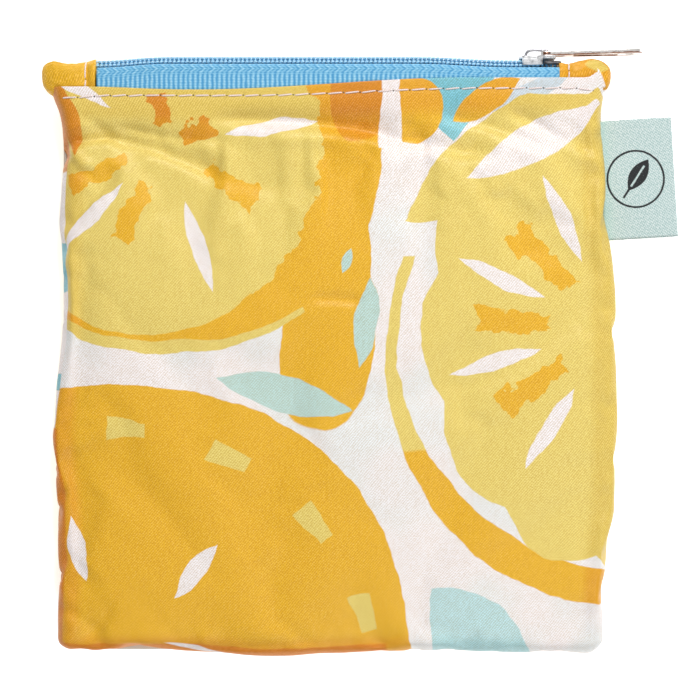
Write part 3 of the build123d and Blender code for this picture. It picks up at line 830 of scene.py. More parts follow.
def panel_grid(a, b, side, creases, seed):
    """Points of one cloth panel, before the hem, from places across and up the flat cloth."""
    left = np.clip(a / EDGE_ARC, 0, 1) * math.pi / 2
    right = np.clip((CLOTH_WIDTH - a) / EDGE_ARC, 0, 1) * math.pi / 2
    low = np.clip(b / EDGE_ARC, 0, 1) * math.pi / 2
    x = LEFT + EDGE_R * (1 - np.cos(left)) + np.clip(a - EDGE_ARC, 0, CLOTH_WIDTH - 2 * EDGE_ARC)
    x = x + EDGE_R * np.cos(right)
    y = BOTTOM + EDGE_R * (1 - np.cos(low)) + np.clip(b - EDGE_ARC, 0, None)
    rise = np.sin(left) * np.sin(right) * np.sin(low)
    # the sides bulge, the lower corners are drawn in, and the top follows the mouth
    share = (x - LEFT) / (RIGHT - LEFT)
    y = y + ease((y - MOUTH + 22) / 22) * (mouth_line(x) - MOUTH)
    y = y + ease(1 - b / 30) * (curve_through(BOTTOM_OUTLINE, x) - BOTTOM)
    x = (x + (1 - share) ** 2 * (curve_through(LEFT_OUTLINE, y) - LEFT)
         + share ** 2 * (curve_through(RIGHT_OUTLINE, y) - RIGHT))
    corner = ease(1 - a / 8) * ease(1 - b / 7) + ease(1 - (CLOTH_WIDTH - a) / 8) * ease(1 - b / 7)
    x = x + corner * np.where(share < 0.5, 1.5, -1.9)
    y = y + corner * 0.8
    y = y + ease(1 - b / 6) * SEAM_WAVE * wander(x, y * 0, 9, 1)
    x = x + ease(1 - a / 6) * SEAM_WAVE * wander(x * 0, y, 9, 3)
    x = x - ease(1 - (CLOTH_WIDTH - a) / 6) * SEAM_WAVE * wander(x * 0, y, 10, 4)
    seam_distance = np.minimum(np.minimum(a, CLOTH_WIDTH - a), b)
    along_seam = np.where(b < np.minimum(a, CLOTH_WIDTH - a), x, y)
    pucker = wander(along_seam, seam_distance * 0.25, 3.4, seed + 5)
    pucker = pucker * np.exp(-((seam_distance - 4.5) / 4.0) ** 2)
    lift = HALF - CLOTH * 0.4 - PANEL_INSET
    lift = lift + BROAD_WAVE * wander(x, y, 26, seed + 7) + FINE_WAVE * wander(x, y, 9, seed + 8)
    lift = lift + SEAM_PUCKER * pucker - crease_depth(x, y, creases)
    near_mouth = ease((b - CLOTH_HEIGHT + 10) / 8)
    over_tape = TAPE_OUT + HEM_ROOM + 0.05 * wander(x, y, 7, seed + 9)
    lift = lift * (1 - near_mouth) + near_mouth * over_tape
    # the topstitching draws the cloth down along its row
    lift = lift - STITCH_DIP * np.exp(-((y - stitch_line(x)) / 0.75) ** 2)
    return np.stack([x, y, MID + side * lift * rise], -1)


def slack_cloth():
    """Drapes both panels by simulation, and returns how each point of a coarse grid moves.

    The panels are one closed bag, a little larger than its contents and lightly filled. It is
    simulated ten times over size, because thin cloth this small is too stiff to fold.
    """
    a, b = np.meshgrid(np.linspace(0, CLOTH_WIDTH, SIM_COLUMNS), np.linspace(0, CLOTH_HEIGHT, SIM_ROWS))
    starts = [panel_grid(a, b, side, [], seed) for side, _, seed in PANELS]
    count = a.size
    points = np.concatenate([grid.reshape(-1, 3) for grid in starts]) * SIM_SCALE
    first = grid_faces(SIM_ROWS, SIM_COLUMNS)
    second = [tuple(v + count for v in face[::-1]) for face in first]
    index = np.arange(count).reshape(a.shape)
    seam = {}
    for n in [*index[:, 0], *index[:, -1], *index[0]]:
        seam[n + count] = n
    faces = first + [tuple(seam.get(v, v) for v in face) for face in second]
    used = sorted({v for face in faces for v in face})
    place = {v: n for n, v in enumerate(used)}
    bag = placed("bag", bpy.data.meshes.new("bag"))
    bag.data.from_pydata(points[used].tolist(), [], [[place[v] for v in face] for face in faces])
    held = bag.vertex_groups.new(name="held")
    for n, v in enumerate(used):
        row = (v % count) // SIM_COLUMNS
        edge = v % SIM_COLUMNS in (0, SIM_COLUMNS - 1) or row == 0
        held.add([n], HELD_MOUTH if row >= SIM_ROWS - 5 else HELD_SEAM if edge else HELD_FREE, "REPLACE")
    cloth = bag.modifiers.new("cloth", "CLOTH")
    settings = cloth.settings
    settings.quality, settings.mass, settings.air_damping = 6, 0.25, 2.0
    settings.tension_stiffness = settings.compression_stiffness = 20
    settings.shear_stiffness, settings.bending_stiffness = 8, SIM_BENDING
    settings.vertex_group_mass, settings.pin_stiffness = "held", 0.6
    settings.use_pressure, settings.uniform_pressure_force = True, SIM_PRESSURE
    settings.shrink_min = -SIM_SLACK
    settings.effector_weights.gravity = 0
    cloth.collision_settings.use_collision = False
    for number in range(1, SIM_FRAMES + 1):
        bpy.context.scene.frame_set(number)
    moved = points_of(as_shaped(bag).data, SIM_SCALE)
    bpy.data.objects.remove(bag)
    bpy.context.scene.frame_set(1)
    out = []
    for n, grid in enumerate(starts):
        ids = [place[seam.get(v, v)] for v in range(n * count, (n + 1) * count)]
        shift = (moved[ids] - grid.reshape(-1, 3)).reshape(grid.shape)
        out.append(SIM_CAP * np.tanh(shift * slack_share(a, b)[..., None] / SIM_CAP))
    return out


def slack_share(a, b):
    """How freely the cloth moves: least where the tote fills it, most below the mouth and at the sides."""
    side = np.minimum(np.minimum(a, CLOTH_WIDTH - a), b)
    loose = 0.42 + 0.58 * np.maximum(ease((b - CLOTH_HEIGHT + 46) / 24), 0.7 * ease((16 - side) / 12))
    return loose * ease((CLOTH_HEIGHT - b - 5) / 12)


def between(coarse):
    """A coarse grid of values read smoothly at the panel's own rows and columns."""
    rows = np.linspace(0, CLOTH_HEIGHT, coarse.shape[0])
    columns = np.linspace(0, CLOTH_WIDTH, coarse.shape[1])
    out = np.empty((len(ROWS), len(COLUMNS), coarse.shape[2]))
    for k in range(coarse.shape[2]):
        tall = np.stack([curve_through(np.c_[rows, c], ROWS) for c in coarse[..., k].T], -1)
        out[..., k] = np.stack([curve_through(np.c_[columns, r], COLUMNS) for r in tall])
    return out


# each panel: the side it faces, its creases and its seed
PANELS = [(1, FRONT_CREASES, 1.0), (-1, BACK_CREASES, 31.0)]
SIM_ROWS, SIM_COLUMNS = 70, 68
SIM_SCALE, SIM_FRAMES = 0.01, 26
SIM_BENDING, SIM_SLACK, SIM_PRESSURE = 0.03, 0.035, 0.15
# how firmly the simulation holds the cloth at the mouth, along the seams and elsewhere
HELD_MOUTH, HELD_SEAM, HELD_FREE = 1.0, 0.35, 0.02
# the farthest that the simulation may move the cloth along X, Y and Z
SIM_CAP = np.array([0.7, 0.9, 0.9])
slack = slack_cloth()


HEM_RADIUS = 0.2


def add_hem(grid, flat, side):
    """Adds the rows where the panel's cloth turns under at the mouth and runs back inside."""
    edge = grid[-1]
    rows, flats = [grid], [flat]
    rise = np.abs(edge[:, 2] - MID) / HALF
    for t in np.radians(np.linspace(35, 180, 5)):
        out, down = HEM_RADIUS * math.sin(t), HEM_RADIUS * (1 - math.cos(t))
        row = edge + np.stack([0 * rise, out + 0 * rise, -side * down * rise], -1)
        rows.append(row[None])
        flats.append((flat[-1] + (0, HEM_RADIUS * t))[None])
    middle = (LEFT + RIGHT) / 2
    for back in (1.2, 3.0, 5.0):
        row = grid[np.searchsorted(ROWS, CLOTH_HEIGHT - back)].copy()
        row[:, 0] += (middle - row[:, 0]) * 0.0025 * back
        row[:, 2] -= side * (2 * HEM_RADIUS + 0.02 * back) * rise
        rows.append(row[None])
        flats.append((flat[-1] + (0, back + HEM_RADIUS * math.pi))[None])
    return np.concatenate(rows), np.concatenate(flats)


def opens(piece):
    """A piece of the front side, with its place baked into its mesh."""
    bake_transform(piece)
    return piece


# how soft the bend is, in millimetres, with which the back panel lifts off the table
REST_BEND = 0.5


def laid_down(z):
    """The height of cloth that rests on the table: it never dips below, and lifts off in a soft bend."""
    return (z + np.sqrt(z * z + REST_BEND ** 2)) / 2


def make_panel(name, which, shift=(0, 0)):
    """A printed panel, draped, creased and hemmed. The back one lies on the table."""
    side, creases, seed = PANELS[which]
    a, b = np.meshgrid(COLUMNS, ROWS)
    grid = panel_grid(a, b, side, creases, seed) + between(slack[which])
    if side < 0:
        grid[..., 2] = laid_down(grid[..., 2])
    flat = np.stack([a - CLOTH_WIDTH / 2 + (LEFT + RIGHT) / 2, b - CLOTH_HEIGHT + MOUTH], -1)
    grid, flat = add_hem(grid, flat, side)
    flat = flat * (side, 1) + shift
    if side < 0:
        grid, flat = grid[:, ::-1], flat[:, ::-1]
    piece = sheet_piece(name, grid, cloth_material, flat, CLOTH)
    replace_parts(piece, name.replace("printed_", "pouch_"))
    return piece


class OuterFace:
    """Finds the height of a piece's outer face, front or back, at a place."""

    def __init__(self, piece, side):
        vertices = [v.co / MM for v in piece.data.vertices]
        faces = [p.vertices[:] for p in piece.data.polygons]
        self.tree, self.side = BVHTree.FromPolygons(vertices, faces), side

    def height(self, x, y):
        start = Vector((x, y, MID + self.side * 30))
        hit = self.tree.ray_cast(start, Vector((0, 0, -self.side)))[0]
        return MID + self.side * (HALF - 0.3) if hit is None else hit.z


front_panel = make_panel("printed_front_panel", 0)
back_panel = make_panel("printed_back_panel", 1, (14, 0))
front_face = OuterFace(front_panel, 1)
back_face = OuterFace(back_panel, -1)


# ---------------------------------------------------------------- stitching
THREAD = 0.19
FIRST_STITCH, LAST_STITCH = -62.2, 59.5
STITCH_PITCH, STITCH_GAP = 3.86, 0.42
# painted shade: dark discs where the stitches dip into the cloth
hole_shade = thread_material("needle_hole_shade", srgb(104, 92, 88), srgb(58, 52, 52))


def add_stitch(tubes, start, end, height):
    """One stitch: a length of thread that dips into the cloth at both ends."""
    start, end = np.array(start, float), np.array(end, float)
    side = 1 if height(*start) > MID else -1
    path, radii = [], []
    for t in np.linspace(0, 1, 11):
        x, y = start + (end - start) * t
        from_middle = 2 * abs(t - 0.5)
        path.append((x, y, height(x, y) + side * (THREAD * 0.45 - 0.32 * from_middle ** 6)))
        radii.append(THREAD * (1 - 0.35 * from_middle ** 8))
    tubes.add(path, radii, 8)


def add_hole_shade(tubes, x, y, height, size=0.2):
    """A dark disc of painted shade at the pricked hole that a stitch dips into."""
    z = height(x, y)
    side = 1 if z > MID else -1
    tubes.add([(x, y, z - side * 0.06), (x, y, z + side * 0.012)], size, 10, up=(0, 1, 0))


def sewn(name, node, threads, holes):
    """One piece of stitches and the painted shade of their holes."""
    piece = join(name, [threads.piece(name, white_thread), holes.piece(name + "_holes", hole_shade)])
    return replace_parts(piece, node)


def topstitch(name, face, node):
    """The row of stitches that holds the hem to the tape."""
    threads, holes = Tubes(), Tubes()
    x = FIRST_STITCH
    while x < LAST_STITCH:
        end = x + STITCH_PITCH - STITCH_GAP + random.uniform(-0.1, 0.1)
        lean = random.uniform(0.05, 0.22)
        start_y, end_y = float(stitch_line(np.float64(x))), float(stitch_line(np.float64(end)))
        add_stitch(threads, (x, start_y - lean), (end, end_y + lean * 0.6), face.height)
        add_hole_shade(holes, end + 0.2, end_y + random.uniform(-0.08, 0.08), face.height)
        x += STITCH_PITCH + random.uniform(-0.06, 0.06)
    return sewn(name, node, threads, holes)


front_stitches = topstitch("hem_stitches_front", front_face, "topstitch_front")
back_stitches = topstitch("hem_stitches_back", back_face, "topstitch_back")


# ---------------------------------------------------------------- zipper tape and coil
# the tape's thickness, and the radius of the bend between its leg and its web
TAPE = 0.36
BEND = 0.9
TAPE_ENDS = (tape_lo[0], tape_hi[0])
LEG_LOW, WEB_Y = tape_lo[1], tape_hi[1]


def chain_rise(x):
    """The zipper arches a little over its length."""
    return 0.85 - 0.9 * ease((-x - 38) / 16) - 0.8 * ease((x - 20) / 22)


def under_panel(face, x, y, side):
    """How far from the middle a thing may reach at each place and still lie under the panel."""
    room = np.full(x.shape, float(HALF))
    for at in np.argwhere(y < mouth_line(x) + 0.3):
        at = tuple(at)
        height = face.height(x[at], min(y[at], float(mouth_line(x[at])) - 0.5))
        room[at] = side * (height - MID) - 2.2 * CLOTH - 0.1
    return room


def make_tape(name, side, node, face):
    """One half of the zipper tape: a leg sewn to the panel and a web turned in to the coil."""
    web, out = WEB_Y - TAPE / 2, TAPE_OUT - BEND
    profile = [(web, 1.25)]
    profile += [(web, o) for o in np.linspace(1.7, out, 6)]
    for t in np.radians(np.linspace(15, 90, 6)):
        profile.append((web - BEND * (1 - math.cos(t)), out + BEND * math.sin(t)))
    profile += [(y, TAPE_OUT) for y in np.linspace(WEB_Y - BEND - 0.4, LEG_LOW, 24)]
    run = run_along(profile)[:, None]
    up, offset = np.array(profile).T[..., None]
    grid_x = np.broadcast_to(np.linspace(*TAPE_ENDS, 220), (len(run), 220))
    y = up + chain_rise(grid_x) * ease((up - 58) / 8)
    offset = offset + 0.05 * wander(grid_x, y, 6, 60 + side) + parted(grid_x) * ease((3.2 - run) / 2.4)
    offset = np.minimum(offset, under_panel(face, grid_x, y, side))
    flat = np.stack([grid_x, run - 3.0 + 0 * grid_x], -1)
    grid = np.stack([grid_x, y, MID + side * offset], -1)
    if side > 0:
        grid, flat = grid[:, ::-1], flat[:, ::-1]
    piece = sheet_piece(name, grid, tape_cloth, flat, TAPE)
    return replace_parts(piece, node)


# the wire's radius, and the coil's reach either side of the middle plane
WIRE = 0.27
COIL_PITCH = 1.0
COIL_LOW, COIL_HIGH = -0.5, 1.8
COIL_MID = (COIL_LOW + COIL_HIGH) / 2
# each row of looped thread: height, how far out, thickness and slant
BEAD_ROWS = [(0.60, 0.02, 0.32, 0.10), (-0.36, 0.22, 0.32, 0.16)]
COIL_ENDS = (coil_lo[0] - 2.6, coil_hi[0] - 0.3)


def parted(x):
    """How far each half of the chain stands aside inside the slider."""
    return 1.4 * ease((x - 46.4) / 4.8)


def make_coil(name, side, node, phase):
    """One half of the coil: a wound nylon wire sewn to the tape with two rows of looped thread."""
    wire, beads = Tubes(), Tubes()
    turns = (COIL_ENDS[1] - COIL_ENDS[0]) / COIL_PITCH
    t = np.linspace(0, turns * 2 * math.pi, int(turns * 18)) + phase
    x = COIL_ENDS[0] + COIL_PITCH * (t - phase - 0.75 * np.sin(t)) / (2 * math.pi)
    half_wide = (COIL_HIGH - COIL_LOW) / 2 - WIRE
    half_tall = (coil_hi[1] - coil_lo[1]) / 2 - WIRE
    y = CHAIN_Y + chain_rise(x) + half_tall * np.sin(t)
    z = MID + side * (COIL_MID + parted(x) - half_wide * np.cos(t))
    wire.add(np.stack([x, y, z], -1), WIRE, 7)
    core = np.linspace(*COIL_ENDS, 90)
    path = np.stack([core, CHAIN_Y + chain_rise(core), MID + side * (COIL_MID + 0.35 + parted(core))], -1)
    wire.add(path, 0.24, 7)
    steps = np.linspace(-1, 1, 7)
    for row, (rise, out, size, lean) in enumerate(BEAD_ROWS):
        x = COIL_ENDS[0] + 0.3 + 0.4 * row
        while x < SLIDER_X + 1.0:
            centre = (x, CHAIN_Y + chain_rise(x) + rise, MID + side * (COIL_HIGH + out + parted(x)))
            reach = np.array([0.42, lean, -0.05 * side])
            path = [centre + reach * k + (0, 0, side * 0.16 * (1 - k * k)) for k in steps]
            beads.add(path, size * (1 - 0.45 * steps ** 2), 8)
            x += COIL_PITCH
    piece = join(name, [wire.piece(name, nylon), beads.piece(name + "_thread", bead_thread)])
    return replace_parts(piece, node)


front_tape = make_tape("tape_front", 1, "zipper_tape_front", front_face)
back_tape = make_tape("tape_back", -1, "zipper_tape_back", back_face)
front_coil = make_coil("coil_front", 1, "zipper_coil_front", 0.0)
back_coil = make_coil("coil_back", -1, "zipper_coil_back", math.pi)


def crimp(name, node, low, high):
    """A small metal staple crimped over the tape: four rounded bars in a ring."""
    x, bar = (low[0] + high[0]) / 2, 0.3
    wide = (high[0] - low[0]) / 2 / bar
    bars = [((x, low[1] + 0.2, z), (x, high[1] - 0.2, z)) for z in (low[2] + bar, high[2] - bar)]
    bars += [((x, y, low[2] + 0.2), (x, y, high[2] - 0.2)) for y in (low[1] + bar, high[1] - bar)]
    tubes = Tubes()
    for ends in bars:
        tubes.add(ends, bar, 12, flatten=wide, up=(1, 0, 0), power=4)
    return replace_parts(tubes.piece(name, stop_metal), node)


def make_stop(name, node, low_shift, high_shift):
    """A stop in the place of its CAD node, with the node's lowest and highest corners shifted."""
    low, high = box_mm(node)
    return crimp(name, node, low + low_shift, high + high_shift)


stop_bottom = make_stop("stop_bottom", "zipper_bottom_stop", (-2.6, -0.9, 0), (-2.6, -0.9, 0))
# the top stops begin in the slider's open end; their dark metal there is painted shade
top_stops = [make_stop("stop_top_" + half, "zipper_top_stop_" + half, (-3.3, 0.5, 0), (-0.3, -0.4, 0))
             for half in ("front", "back")]


# ---------------------------------------------------------------- slider and pull
BLADE = 0.8


def mirrored_outline(half, origin):
    """A closed outline from its points on one side of the middle line, along X from an origin."""
    half = [(origin + x, z) for x, z in half]
    return [(x, MID + z) for x, z in half] + [(x, MID - z) for x, z in half[::-1]]


def make_slider():
    """Two blades joined by a post, with lips that hold the chain in and an open wide end."""
    blade = [(-4.25, 1.6), (-3.4, 3.0), (0.0, 3.2), (1.5, 3.9), (3.6, 3.9), (4.25, 3.2)]
    blade = rounded(mirrored_outline(blade, SLIDER_X), 0.8)
    top_low, top_high = body_hi[1] - BLADE, body_hi[1]
    low_high = body_lo[1] + BLADE
    parts = [plate("blade_top", [blade], top_low, top_high, nickel_painted_reflection, 0.22)]
    parts.append(plate("blade_low", [blade], body_lo[1], low_high, nickel_painted_reflection, 0.22))
    post = [(0.9, 0.3), (1.7, 0.75), (3.2, 0.75), (3.9, 0.3)]
    post = rounded(mirrored_outline(post, SLIDER_X), 0.3)
    parts.append(plate("post", [post], low_high - 0.1, top_low + 0.1, nickel_painted_reflection, 0.05))
    half_lip = [(-3.7, 2.5), (-3.3, 3.05), (0.0, 3.25), (1.1, 3.85), (1.2, 3.4), (0.1, 2.75)]
    for side in (1, -1):
        lip = [(SLIDER_X + x, MID + side * z) for x, z in half_lip][::side]
        parts.append(plate("lip_top", [rounded(lip, 0.25)], body_lo[1] + 2.35, top_low + 0.2, nickel_painted_reflection, 0.1))
        parts.append(plate("lip_low", [rounded(lip, 0.25)], low_high - 0.2, low_high + 0.3, nickel_painted_reflection, 0.1))
    piece = join("slider_shell", parts)
    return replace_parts(piece, "slider_body")


def make_bail():
    """The arched bridge that the pull hangs on."""
    route = [(46.0, 70.1), (45.85, 71.0), (46.3, 71.85), (47.4, 72.2), (49.2, 72.2), (50.7, 72.0),
             (51.4, 71.3), (51.5, 70.1)]
    route = [(x, y + bail_hi[1] - 72.55, MID) for x, y in route]
    half_thick, half_wide = 0.34, 0.8
    tubes = Tubes()
    tubes.add(smooth_route(route, 40), half_thick, 16, flatten=half_wide / half_thick, power=3.4)
    # the bridge's darker grey is a painted dark reflection
    piece = tubes.piece("slider_bridge", bridge_nickel_painted_reflection)
    shade_by_angle(piece, 50)
    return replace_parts(piece, "slider_bail")


def smooth_route(points, count):
    """Points along a smooth curve through the given points."""
    run = run_along(points)
    at = np.linspace(0, run[-1], count)
    return np.stack([curve_through(np.c_[run, column], at) for column in np.array(points).T], -1)


# how far the pull and the label are turned from their CAD nodes
PULL_TILT = math.radians(1.6)
LABEL_TILT = math.radians(3.3)


def make_pull():
    """The pull: an eye round the bridge, a neck, and a tapered tab with a raised rim and a hole."""
    pivot = bail_lo[0] + 4.3
    end = pull_hi[0] - pivot
    thick = (pull_hi[1] - pull_lo[1]) / 2
    edge = [(-0.65, 1.3), (0.2, 2.0), (3.6, 2.0), (5.4, 1.75), (7.4, 2.1), (end - 3.2, 2.9),
            (end - 0.8, 2.6), (end, 1.2)]
    eye = [(0.65, 0.5), (1.0, 1.1), (4.6, 1.1), (5.2, 0.5)]
    inner = [(7.2, 1.15), (end - 6.2, 2.0), (end - 5.6, 1.4)]
    hole = [(end - 2.9 + math.cos(t), math.sin(t)) for t in np.linspace(0, math.pi, 14)]

    web = [(6.4, 1.5), (end - 5.2, 2.2), (end - 5.0, 1.6)]
    corners = ((edge, 1.0), (eye, 0.45), (inner, 0.5), (web, 0.4))
    edge, eye, inner, web = [rounded(mirrored_outline(half, pivot), radius) for half, radius in corners]
    openings = [eye, inner, mirrored_outline(hole, pivot)]
    rim = plate("pull_rim", [edge, *openings], PIVOT_Y - thick, PIVOT_Y + thick, pull_nickel, 0.16)
    web = plate("pull_web", [web], PIVOT_Y - 0.22, PIVOT_Y + 0.22, pull_nickel, 0.05)
    pin = Tubes()
    pin.add([(pivot, PIVOT_Y, MID - 1.5), (pivot, PIVOT_Y, MID + 1.5)], 0.42, 12, up=(1, 0, 0))
    for z in (MID - 1.6, MID + 1.6):
        pin.add([(pivot - 0.1, PIVOT_Y, z), (pivot + 1.6, PIVOT_Y, z)], 0.46, 12)
    piece = join("zip_pull_tab", [rim, web, pin.piece("pull_pin", pull_nickel)])
    turn_about(piece, (pivot, PIVOT_Y, MID), PULL_TILT)
    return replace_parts(piece, "pull_tab")


def turn_about(piece, centre, angle):
    """Turns a piece's mesh in the plane of the table, about a point."""
    centre = Vector(centre) * MM
    turn = Matrix.Rotation(angle, 4, "Z")
    piece.data.transform(Matrix.Translation(centre) @ turn @ Matrix.Translation(-centre))


slider = make_slider()
bail = make_bail()
pull = make_pull()


# ---------------------------------------------------------------- folded ends of the zipper
def make_ear(name, node, rings, seed, shift, pinch):
    """A folded loop of cloth over the zipper's end: a soft closed form drawn in by its stitches.

    Each ring: x, lower y, upper y, half depth.
    """
    rings = np.array(rings, float)
    at = np.linspace(0, len(rings) - 1, 64)
    low = np.clip(at.astype(int), 0, len(rings) - 2)
    part = ease(at - low) * 0.35 + (at - low) * 0.65
    rings = rings[low] * (1 - part[:, None]) + rings[low + 1] * part[:, None]
    kernel = np.array([1, 2, 3, 2, 1]) / 9
    padded = np.pad(rings, ((2, 2), (0, 0)), mode="reflect", reflect_type="odd")
    rings = np.stack([np.convolve(padded[:, c], kernel, "valid") for c in range(4)], -1)
    turn = np.linspace(-math.pi / 2, 3 * math.pi / 2, 73)[:-1]
    cos, sin = np.cos(turn), np.sin(turn)
    ring_x, low_y, high_y, depth = rings.T[..., None]
    x = ring_x + 0 * turn
    y = (low_y + high_y) / 2 + (high_y - low_y) / 2 * blunt(sin, 3.6)
    squeeze = 1 - 0.10 * np.exp(-((x - pinch) / 0.7) ** 2)
    z = MID + depth * blunt(cos, 3.0) * squeeze
    bumps = 0.16 * wander(x + 40 * cos, y, 3.2, seed) + 0.08 * wander(x, y + 30 * cos, 1.4, seed + 4)
    grid = np.stack([x, y + bumps * sin * 0.7, z + bumps * cos], -1)
    run = (turn / math.pi - 0.5) * 17
    flat = np.stack([x, run + 0 * x], -1) + shift
    faces = grid_faces(len(rings), len(turn), True)
    first = list(range(len(turn)))
    last = list(range(x.size - len(turn), x.size))
    faces += [first[::-1], last]
    if rings[-1, 0] > rings[0, 0]:
        faces = [f[::-1] for f in faces]
    piece = mesh_piece(name, grid, faces, cloth_material, flat.reshape(-1, 2))
    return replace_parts(piece, node)


LEFT_EAR = [
    (-54.7, 61.6, 69.7, 5.1), (-55.0, 61.4, 69.75, 5.2), (-57.0, 61.2, 69.1, 5.0), (-59.5, 61.0, 68.8, 4.9),
    (-61.5, 61.0, 68.8, 4.7), (-63.1, 61.0, 69.2, 4.3), (-64.9, 61.2, 69.6, 3.8), (-66.4, 62.2, 69.1, 3.0),
    (-67.3, 63.6, 68.2, 2.2), (-67.6, 65.4, 67.2, 1.2),
]
RIGHT_EAR = [
    (53.3, 62.6, 68.9, 5.1), (53.6, 62.4, 69.0, 5.2), (55.6, 62.2, 68.7, 5.0), (57.4, 62.0, 69.2, 4.9),
    (59.6, 62.0, 69.75, 4.7), (61.4, 62.0, 70.0, 4.3), (63.2, 62.0, 69.6, 3.8), (64.7, 62.6, 68.7, 3.0),
    (65.4, 63.8, 67.7, 2.2), (65.7, 65.4, 66.9, 1.2),
]
left_ear = make_ear("zipper_end_left", "end_tab_left", LEFT_EAR, 5.0, (20, -38), -56.7)
right_ear = make_ear("zipper_end_right", "end_tab_right", RIGHT_EAR, 9.0, (-11.5, 80), 55.4)


def ear_stitches(name, node, ear, x, spans):
    """White stitches that close the end's fold, on both faces."""
    threads, holes = Tubes(), Tubes()
    for side in (1, -1):
        face = OuterFace(ear, side)
        for low, high in spans:
            add_stitch(threads, (x, high), (x - 0.15, low), face.height)
            add_hole_shade(holes, x - 0.05, low - 0.15, face.height, 0.16)
    return sewn(name, node, threads, holes)


left_ear_stitches = ear_stitches("end_stitches_left", "tab_stitch_left", left_ear, -56.9,
                                 [(64.9, 69.0), (62.6, 64.6)])
right_ear_stitches = ear_stitches("end_stitches_right", "tab_stitch_right", right_ear, 55.6,
                                  [(66.9, 68.5), (64.4, 66.6)])


# ---------------------------------------------------------------- side label
def make_label():
    """A woven strip folded in two and sewn into the side seam."""
    radius = (label_hi[2] - label_lo[2]) / 2 - 0.1
    start, end = label_lo[0] - 1.0, label_hi[0] - 0.1
    leg = end - radius - start
    xs = np.linspace(0, leg, 24)
    profile = [(start + x, 1.0, x) for x in xs]
    for t in np.radians(np.linspace(20, 160, 8)):
        profile.append((start + leg + radius * math.sin(t), math.cos(t), leg + radius * t))
    profile += [(start + x, -1.0, leg * 2 + radius * math.pi - x) for x in xs[::-1]]
    profile = np.array(profile)
    y = np.linspace(label_lo[1] + 0.1, label_hi[1] - 0.1, 44)
    grid_y, x = np.meshgrid(y, profile[:, 0])
    share = np.clip((x - start) / leg, 0, 1.05)
    puff = radius * 0.72 + 0.28 * np.clip(np.sin(share * math.pi), 0, 1) ** 0.8
    z = MID + profile[:, 1:2] * puff + 0.5 * share ** 2 + 0.16 * wander(x, grid_y, 14, 70)
    middle = (label_lo[1] + label_hi[1]) / 2
    flat = np.stack([profile[:, 2:3] + 0 * grid_y, grid_y - middle], -1)
    grid = np.stack([x, grid_y + 0.05 * wander(x, grid_y, 1.2, 72), z], -1)
    piece = sheet_piece("side_tag", grid, label_cloth, flat, LABEL_CLOTH)
    turn_about(piece, (label_lo[0], middle, MID), LABEL_TILT)
    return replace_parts(piece, "side_label")


label = make_label()


# ---------------------------------------------------------------- inside: seam edges and the folded tote
def make_allowance(name, node):
    """The raw doubled edge inside a seam, overcast with thread."""
    low, high = box_mm(node)
    level = high[0] - low[0] > high[1] - low[1]
    long_axis, across = (0, 1) if level else (1, 0)
    ends = (low[long_axis], high[long_axis])
    along = np.linspace(*ends, int((ends[1] - ends[0]) / 1.1))
    side = np.linspace(low[across], high[across], 7)
    a, c = np.meshgrid(along, side)
    z = (low[2] + high[2]) / 2 + 0.10 * wander(a, c, 5, 80) - 0.5 * (high[2] - low[2]) + 0.3
    grid = np.stack([a, c, z], -1) if level else np.stack([c, a, z], -1)[::-1]
    piece = sheet_piece(name, grid, seam_material, grid[..., :2], SEAM_CLOTH)
    inner = side[-1] if abs(side[-1]) < abs(side[0]) else side[0]
    threads = Tubes()
    turn = np.linspace(0, 2 * math.pi, 13)
    inner = inner + 0.9 * np.cos(turn) * 0.9
    height = (low[2] + high[2]) / 2 - 0.1 + 0.26 * np.sin(turn)
    for at in along[1:-1:2]:
        # one loop of the overcasting thread round the raw edge
        at = at + np.linspace(0, 0.9, 13)
        threads.add(np.stack([at, inner, height] if level else [inner, at, height], -1), 0.09, 5)
    fringe = threads.piece(name + "_overlock", white_thread)
    length = (ends[1] - ends[0]) * MM
    length * 0.005
    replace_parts(piece, node)
    return piece, fringe


# how far below the panels' outer faces the folded tote has to stay
INSIDE_ROOM = 2.6 * CLOTH


def keep_inside(x, y, z):
    """Lowers or raises what lies inside so that the panels cover it."""
    z = np.array(z, float)
    for at in np.argwhere((z > HALF * 1.5) | (z < HALF * 0.5)):
        at = tuple(at)
        top = front_face.height(x[at], y[at]) - INSIDE_ROOM
        low = back_face.height(x[at], y[at]) + INSIDE_ROOM
        z[at] = min(max(z[at], low), top)
    return z


# how many layers each tote sheet lies in, how far apart they are, and the height of the lowest
TOTE_LEVELS = 4
TOTE_SPACING = 2.0
TOTE_FIRST = 1.95


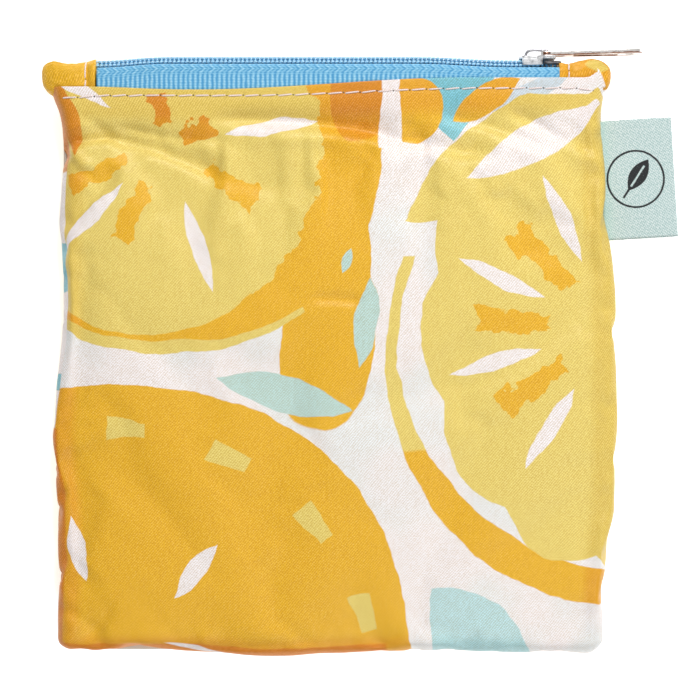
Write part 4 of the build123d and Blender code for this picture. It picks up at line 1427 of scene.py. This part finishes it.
def make_tote(name, node, offset, seed):
    """One side of the tote bag, folded to and fro like a fan."""
    low, high = box_mm(node)
    low_y, high_y = low[1] + 2.0, high[1] - 2.0
    path = []
    for level in range(TOTE_LEVELS):
        way = 1 if level % 2 == 0 else -1
        z = TOTE_FIRST + level * TOTE_SPACING + way * offset
        ys = np.linspace(low_y, high_y, 60)[::way]
        path += [(y, z) for y in ys]
        if level < TOTE_LEVELS - 1:
            radius = TOTE_SPACING / 2 - way * offset
            centre = (ys[-1], TOTE_FIRST + (level + 0.5) * TOTE_SPACING)
            for t in np.radians(np.linspace(-90, 90, 9)[1:-1]):
                path.append((centre[0] + way * radius * math.cos(t), centre[1] + radius * math.sin(t)))
    path = np.array(path)
    grid_x, y = np.meshgrid(np.linspace(low[0] + 0.3, high[0] - 0.3, 90), path[:, 0])
    run = run_along(path)[:, None] + 0 * y
    side = ease((np.abs(grid_x - (low[0] + high[0]) / 2) - 50) / 6)
    z = path[:, 1:2] + 0.22 * wander(grid_x, y, 12, seed) * (1 - 0.6 * side)
    y = y + 0.8 * wander(grid_x, run * 0.3, 22, seed + 3)
    x = grid_x + 0.9 * wander(run * 0.2, y, 16, seed + 6)
    grid = np.stack([x, y, keep_inside(x, y, z)], -1)[:, ::-1]
    flat = np.stack([grid_x, run - 120], -1)[:, ::-1]
    piece = sheet_piece(name, grid, tote_material, flat, TOTE_CLOTH)
    run[-1, 0] * MM
    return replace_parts(piece, node)


def make_strap(name, node, seed):
    """A carrying strap folded in two, hemmed along both edges."""
    low, high = box_mm(node)
    radius, floor, width = 0.3, low[2] + 0.2, high[0] - low[0]
    ys = np.linspace(low[1] + 1.0, high[1] - 0.5, 46)
    path = [(y, floor) for y in ys[::-1]]
    for t in np.linspace(-1.2, 1.2, 5):
        path.append((ys[0] - radius * math.cos(t), floor + radius + radius * math.sin(t)))
    path += [(y, floor + 2 * radius) for y in ys]
    path = np.array(path)
    grid_x, y = np.meshgrid(np.linspace(low[0], high[0], 26), path[:, 0])
    run = run_along(path)[:, None] + 0 * y
    from_hem = np.abs(grid_x - (low[0] + high[0]) / 2) - width / 2 + 1.6
    z = path[:, 1:2] - 0.06 * np.exp(-(from_hem / 0.5) ** 2) + 0.08 * wander(grid_x, y, 8, seed)
    x = grid_x + 0.7 * wander(y * 0, y, 30, seed + 1)
    grid = np.stack([x, y, keep_inside(x, y, z)], -1)
    piece = sheet_piece(name, grid, strap_material, np.stack([grid_x, run], -1), STRAP_CLOTH)
    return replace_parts(piece, node)


inner_pieces = []
for place in ("left", "right", "bottom"):
    inner_pieces += make_allowance("seam_edge_" + place, "seam_allowance_" + place)
inner_pieces.append(make_tote("tote_front", "tote_front_sheet", 0.45, 90))
inner_pieces.append(make_tote("tote_back", "tote_back_sheet", -0.45, 95))
inner_pieces.append(make_strap("tote_strap_front", "tote_handle_front", 100))
inner_pieces.append(make_strap("tote_strap_back", "tote_handle_back", 105))


# ---------------------------------------------------------------- floor and bodies
def make_floor(reach=3000, height=-0.02):
    """The table's wide plain sheet of paper, a hair below the part."""
    points = [(x * reach, y * reach, height) for x, y in ((-1, -1), (1, -1), (1, 1), (-1, 1))]
    floor = mesh_piece("floor", points, [(0, 1, 2, 3)], floor_material(), smooth=False)


make_floor()
for piece in (front_panel, front_stitches, front_tape, front_coil, top_stops[0]):
    opens(piece)
for piece in (back_panel, back_stitches, back_tape, back_coil, stop_bottom, top_stops[1], left_ear, right_ear,
              left_ear_stitches, right_ear_stitches, *inner_pieces):
    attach(piece, "back_side")
for piece, body in ((slider, "zip_slider"), (bail, "zip_slider"), (pull, "zip_pull"), (label, "label")):
    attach(piece, body)
